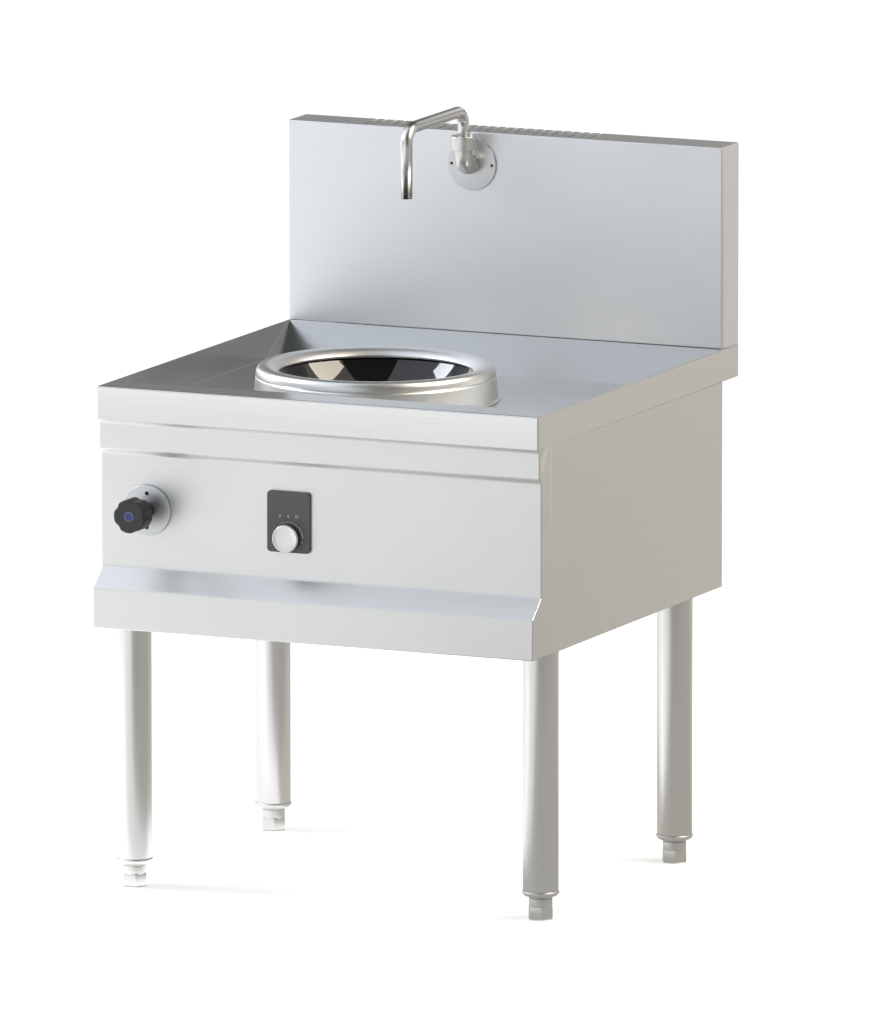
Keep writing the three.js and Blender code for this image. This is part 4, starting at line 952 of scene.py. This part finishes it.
HUB = [
    (9.8, 7, 0), (13, 7, 0.8), (13, 36, 0), (15, 37, 0), (15, 42.2, 0), (5.3, 42.2, 0),
    (5.3, 23, 0), (9.8, 23, 0)]
BUTTON_HOLE = 8.3
BUTTON = [(0, 74, 0), (7.2, 74, 0), (7.2, 77.5, 0.5), (0, 77.3, 0)]
BUTTON_RING = [(7.3, 74, 0), (8, 74, 0), (8, 77.2, 0.3), (7.3, 77.2, 0)]
OUTLINE_STEPS, BUTTON_STEPS = 240, 64

# Brass, sand cast and machined: warm yellow, rougher where it is cast.
brass = grained(
    "brass_cast", "#c2a660", 0.3, 0.5, 0.0012, detail=3.0, relief=(0.15, 0.0004),
    more={"Metallic": 1.0})
dress(["bowl_sensor"], brass)

casting = turned(CASTING, steps=64, facing="front", place=VALVE)
ports = turned(PORTS, steps=48, place=(VALVE[0], PORT_Y, VALVE[2]))
finish_piece("valve_casting", merge(casting, ports), brass, "cabinet", ["valve_body"])
finish_piece(
    "valve_flange_turning", turned(VALVE_FLANGE, facing="front", place=VALVE, closed=True),
    satin_flange_painted_shade, "cabinet", ["valve_flange"])
for level, side in (("upper", 1), ("lower", -1)):
    place = (VALVE[0], VALVE[1], VALVE[2] + side * VALVE_SCREW_OUT)
    finish_piece(
        f"valve_fixing_{level}", turned(VALVE_SCREW, steps=32, facing="front", place=place),
        blackened, "cabinet", [f"valve_screw_{level}"])
finish_piece(
    "valve_spindle_rod", turned(SPINDLE, steps=48, facing="front", place=VALVE), brass,
    "handwheel", ["valve_spindle"])


def wheel_radius(angle):
    """How far the wheel's rim is from its axis: the full radius, or less in a flute."""
    distance = WHEEL_RADIUS + FLUTE_RADIUS - FLUTE_DEPTH
    pitch = 2 * math.pi / FLUTES
    away = (angle - math.radians(FIRST_FLUTE) + pitch / 2) % pitch - pitch / 2
    reach = FLUTE_RADIUS ** 2 - (distance * math.sin(away)) ** 2
    if reach <= 0:
        return WHEEL_RADIUS
    return min(WHEEL_RADIUS, distance * math.cos(away) - math.sqrt(reach))


def step_in(bm, edges, shares, middle=(0, 0, 0)):
    """Closes a round end in to a smaller ring about its middle and returns that ring."""
    inner = pull(bm, edges, (0, 0, 0))
    bmesh.ops.scale(
        bm, vec=shares, verts=list({v for e in inner for v in e.verts}),
        space=Matrix.Translation(-Vector(middle)))
    return inner


wheel = bmesh.new()
bmesh.ops.create_circle(wheel, cap_ends=False, segments=OUTLINE_STEPS, radius=WHEEL_RADIUS)
for v in wheel.verts:
    v.co *= wheel_radius(math.atan2(v.co.y, v.co.x)) / WHEEL_RADIUS
for _ in range(FLUTE_SMOOTHING):
    bmesh.ops.smooth_vert(
        wheel, verts=wheel.verts, factor=0.5, use_axis_x=True, use_axis_y=True, use_axis_z=True)
rim = wheel.edges[:]
far_rim = pull(wheel, rim, (0, 0, WHEEL_DEPTH))
for edges, level, inwards in ((rim, 0, 1), (far_rim, WHEEL_DEPTH, -1)):
    inner = step_in(wheel, edges, (WHEEL_INNER, WHEEL_INNER, 1))
    hole_edges = fill_round(wheel, inner, BUTTON_HOLE, BUTTON_STEPS, (0, 0, level))
    pocket = pull(wheel, hole_edges, (0, 0, inwards * WHEEL_POCKET))
    bmesh.ops.contextual_create(wheel, geom=pocket)
bmesh.ops.recalc_face_normals(wheel, faces=wheel.faces)
outer_corners = [
    e for e in wheel.edges
    if len(e.link_faces) == 2 and min(v.co.xy.length for v in e.verts) > BUTTON_HOLE + 1
    and near(e.verts[0].co.z, e.verts[1].co.z) and e.calc_face_angle() > 1.0]
round_edges(wheel, outer_corners, WHEEL_EDGE, segments=6)
bmesh.ops.transform(
    wheel, verts=wheel.verts, matrix=Matrix.Translation(
        (VALVE[0], PANEL_FACE - WHEEL_FRONT, VALVE[2])) @ FACING["back"])
bmesh.ops.recalc_face_normals(wheel, faces=wheel.faces)
wheel_plastic = moulded("phenolic_black_moulded", "#1f201f", 0.45, ior=1.55)
finish_piece(
    "handwheel_moulding", merge(wheel, turned(HUB, facing="front", place=VALVE, closed=True)),
    wheel_plastic, "handwheel", ["handwheel"])

blue_abs = moulded("abs_blue_moulded", "#2a2f80", 0.3)
finish_piece(
    "button_disc", turned(BUTTON, steps=BUTTON_STEPS, facing="front", place=VALVE), blue_abs,
    "handwheel", ["index_button"])
pale_abs = moulded("abs_pale_moulded", "#8f92ab", 0.35)
finish_piece(
    "button_ring",
    turned(BUTTON_RING, steps=BUTTON_STEPS, facing="front", place=VALVE, closed=True), pale_abs,
    "handwheel")


# ---------------------------------------------------------------- tap
# A stainless tap on the splashback: a turned flange with two dark screws, a bent elbow, a swivel
# nut with a recessed top and collar, and a bent spout that swings about the nut.
TAP = (TAP_X, SPLASH_FRONT, 1140.6)
TAP_FLANGE = [(12.3, 0.3, 0), (44.25, 0.3, 0.2), (44.25, 3.3, 0.8), (12.3, 3.3, 0)]
TAP_SCREW = [
    (0, 0.4, 0), (2.6, 0.4, 0), (2.6, 3.7, 0.4), (1.2, 3.7, 0), (1.1, 3.4, 0), (0, 3.4, 0)]
TAP_SCREW_OUT = 37
SWIVEL_Y = SPLASH_FRONT - 37
ELBOW_RADIUS, ELBOW_BEND = 15, 20
ELBOW_BACK, ELBOW_TOP = 3.6, 30.1
ELBOW_TAIL, ELBOW_NECK = 28, 5.3
PIPE_INNER = 0.8
SWIVEL_NUT = [
    (12.3, 30.4, 0), (20.8, 30.4, 0.8), (20.8, 53.4, 1.0), (17, 53.4, 0.5), (16.7, 50.6, 0.4),
    (13.4, 50.6, 0), (11.2, 53.0, 0.5), (10.3, 53.0, 0), (10.3, 36, 0), (12.3, 36, 0)]
SPOUT_RADIUS, SPOUT_WALL, SPOUT_BEND = 10, 1.5, 28
SPOUT_FOOT = 36
SPOUT_REACH, ARM_HEIGHT, SPOUT_DROP = 236, 96.4, 117
PIPE_STEPS = 48


def pipe_end(radius, place, facing):
    """A bmesh with one ring of a pipe, facing along an axis, and that ring's edges."""
    bm = bmesh.new()
    bmesh.ops.create_circle(
        bm, cap_ends=False, segments=PIPE_STEPS, radius=radius,
        matrix=Matrix.Translation(place) @ FACING[facing])
    return bm, bm.edges[:]


def sweep(bm, ring, centre, degrees, steps=14):
    """Carries a pipe's ring round a bend in the YZ plane and returns the far ring."""
    far = bmesh.ops.spin(
        bm, geom=ring, cent=centre, axis=(1, 0, 0), angle=math.radians(degrees), steps=steps)
    return [g for g in far["geom_last"] if isinstance(g, bmesh.types.BMEdge)]


finish_piece(
    "tap_flange_turning", turned(TAP_FLANGE, facing="front", place=TAP, closed=True),
    satin_flange_painted_shade, "cabinet", ["tap_flange"])
for name, side in (("left", -1), ("right", 1)):
    place = (TAP_X + side * TAP_SCREW_OUT, SPLASH_FRONT, TAP[2])
    finish_piece(
        f"tap_fixing_{name}", turned(TAP_SCREW, steps=32, facing="front", place=place),
        blackened, "cabinet")

bm, ring = pipe_end(ELBOW_RADIUS, (TAP_X, SPLASH_FRONT - ELBOW_BACK, TAP[2]), "front")
tail = step_in(bm, ring, (PIPE_INNER, 1, PIPE_INNER), (TAP_X, 0, TAP[2]))
tail = pull(bm, tail, (0, ELBOW_TAIL, 0))
bmesh.ops.contextual_create(bm, geom=tail)
ring = pull(bm, ring, (0, SWIVEL_Y + ELBOW_BEND - SPLASH_FRONT + ELBOW_BACK, 0))
ring = sweep(bm, ring, (TAP_X, SWIVEL_Y + ELBOW_BEND, TAP[2] + ELBOW_BEND), -90)
ring = pull(bm, ring, (0, 0, ELBOW_TOP - ELBOW_BEND))
neck = step_in(bm, ring, (PIPE_INNER, PIPE_INNER, 1), (TAP_X, SWIVEL_Y, 0))
neck = pull(bm, neck, (0, 0, ELBOW_NECK))
bmesh.ops.contextual_create(bm, geom=neck)
bmesh.ops.recalc_face_normals(bm, faces=bm.faces)
finish_piece("tap_elbow_bend", bm, satin_turning, "cabinet", ["tap_elbow"])

finish_piece(
    "swivel_nut", turned(SWIVEL_NUT, place=(TAP_X, SWIVEL_Y, TAP[2]), closed=True),
    satin_turning, "cabinet", ["tap_nut"])

arm_height = TAP[2] + ARM_HEIGHT
bm, ring = pipe_end(SPOUT_RADIUS, (TAP_X, SWIVEL_Y, TAP[2] + SPOUT_FOOT), "Z")
ring = pull(bm, ring, (0, 0, ARM_HEIGHT - SPOUT_BEND - SPOUT_FOOT))
ring = sweep(bm, ring, (TAP_X, SWIVEL_Y - SPOUT_BEND, arm_height - SPOUT_BEND), 90)
ring = pull(bm, ring, (0, 2 * SPOUT_BEND - SPOUT_REACH, 0))
ring = sweep(bm, ring, (TAP_X, SWIVEL_Y - SPOUT_REACH + SPOUT_BEND, arm_height - SPOUT_BEND), 90)
pull(bm, ring, (0, 0, SPOUT_BEND - SPOUT_DROP))
bmesh.ops.recalc_face_normals(bm, faces=bm.faces)
spout = finish_piece("spout_pipe", bm, polished_tube, "spout", ["spout"])
give_wall(spout, "pipe_wall", SPOUT_WALL)


# ---------------------------------------------------------------- water pipes
# Drawn copper pipe from the inlet through the valve to the tap. Only the inlet's stub and its brass
# nut show, at the rear.
INLET_HEIGHT = 560
INLET_TOP = 613.7
INLET_END = 800
PIPE_RADIUS, PIPE_BEND = 7, 18
BORE_DEPTH = 24
INLET_NUT_FLATS, INLET_NUT_TOP = 26, 12.3

# Copper, drawn and handled: warm, with a faint darker tarnish.
copper, tree = new_finish("copper_pipe_drawn")
surface(tree, {
    "Base Color": blend(tree, noise(tree, 0.02, 3.0), "#c98862", "#a5633f"),
    "Metallic": 1.0, "Roughness": 0.32})
dress(["water_pipe"], copper)

bm, ring = pipe_end(PIPE_RADIUS, (VALVE[0], PORT_Y, INLET_TOP), "Z")
bmesh.ops.contextual_create(bm, geom=ring)
ring = pull(bm, ring, (0, 0, INLET_HEIGHT + PIPE_BEND - INLET_TOP))
ring = sweep(bm, ring, (VALVE[0], PORT_Y + PIPE_BEND, INLET_HEIGHT + PIPE_BEND), 90)
ring = pull(bm, ring, (0, INLET_END - PORT_Y - PIPE_BEND, 0))
bore = step_in(bm, ring, (PIPE_INNER, 1, PIPE_INNER), (VALVE[0], 0, INLET_HEIGHT))
bore = pull(bm, bore, (0, -BORE_DEPTH, 0))
bmesh.ops.contextual_create(bm, geom=bore)
bmesh.ops.recalc_face_normals(bm, faces=bm.faces)
finish_piece("inlet_pipe", bm, copper, "cabinet", ["water_inlet"])
nut = hexagon_bar(
    INLET_NUT_FLATS, GAP, INLET_NUT_TOP, "back", (VALVE[0], BODY_BACK, INLET_HEIGHT), NUT_EDGE)
finish_piece("inlet_nut", nut, brass, "cabinet")
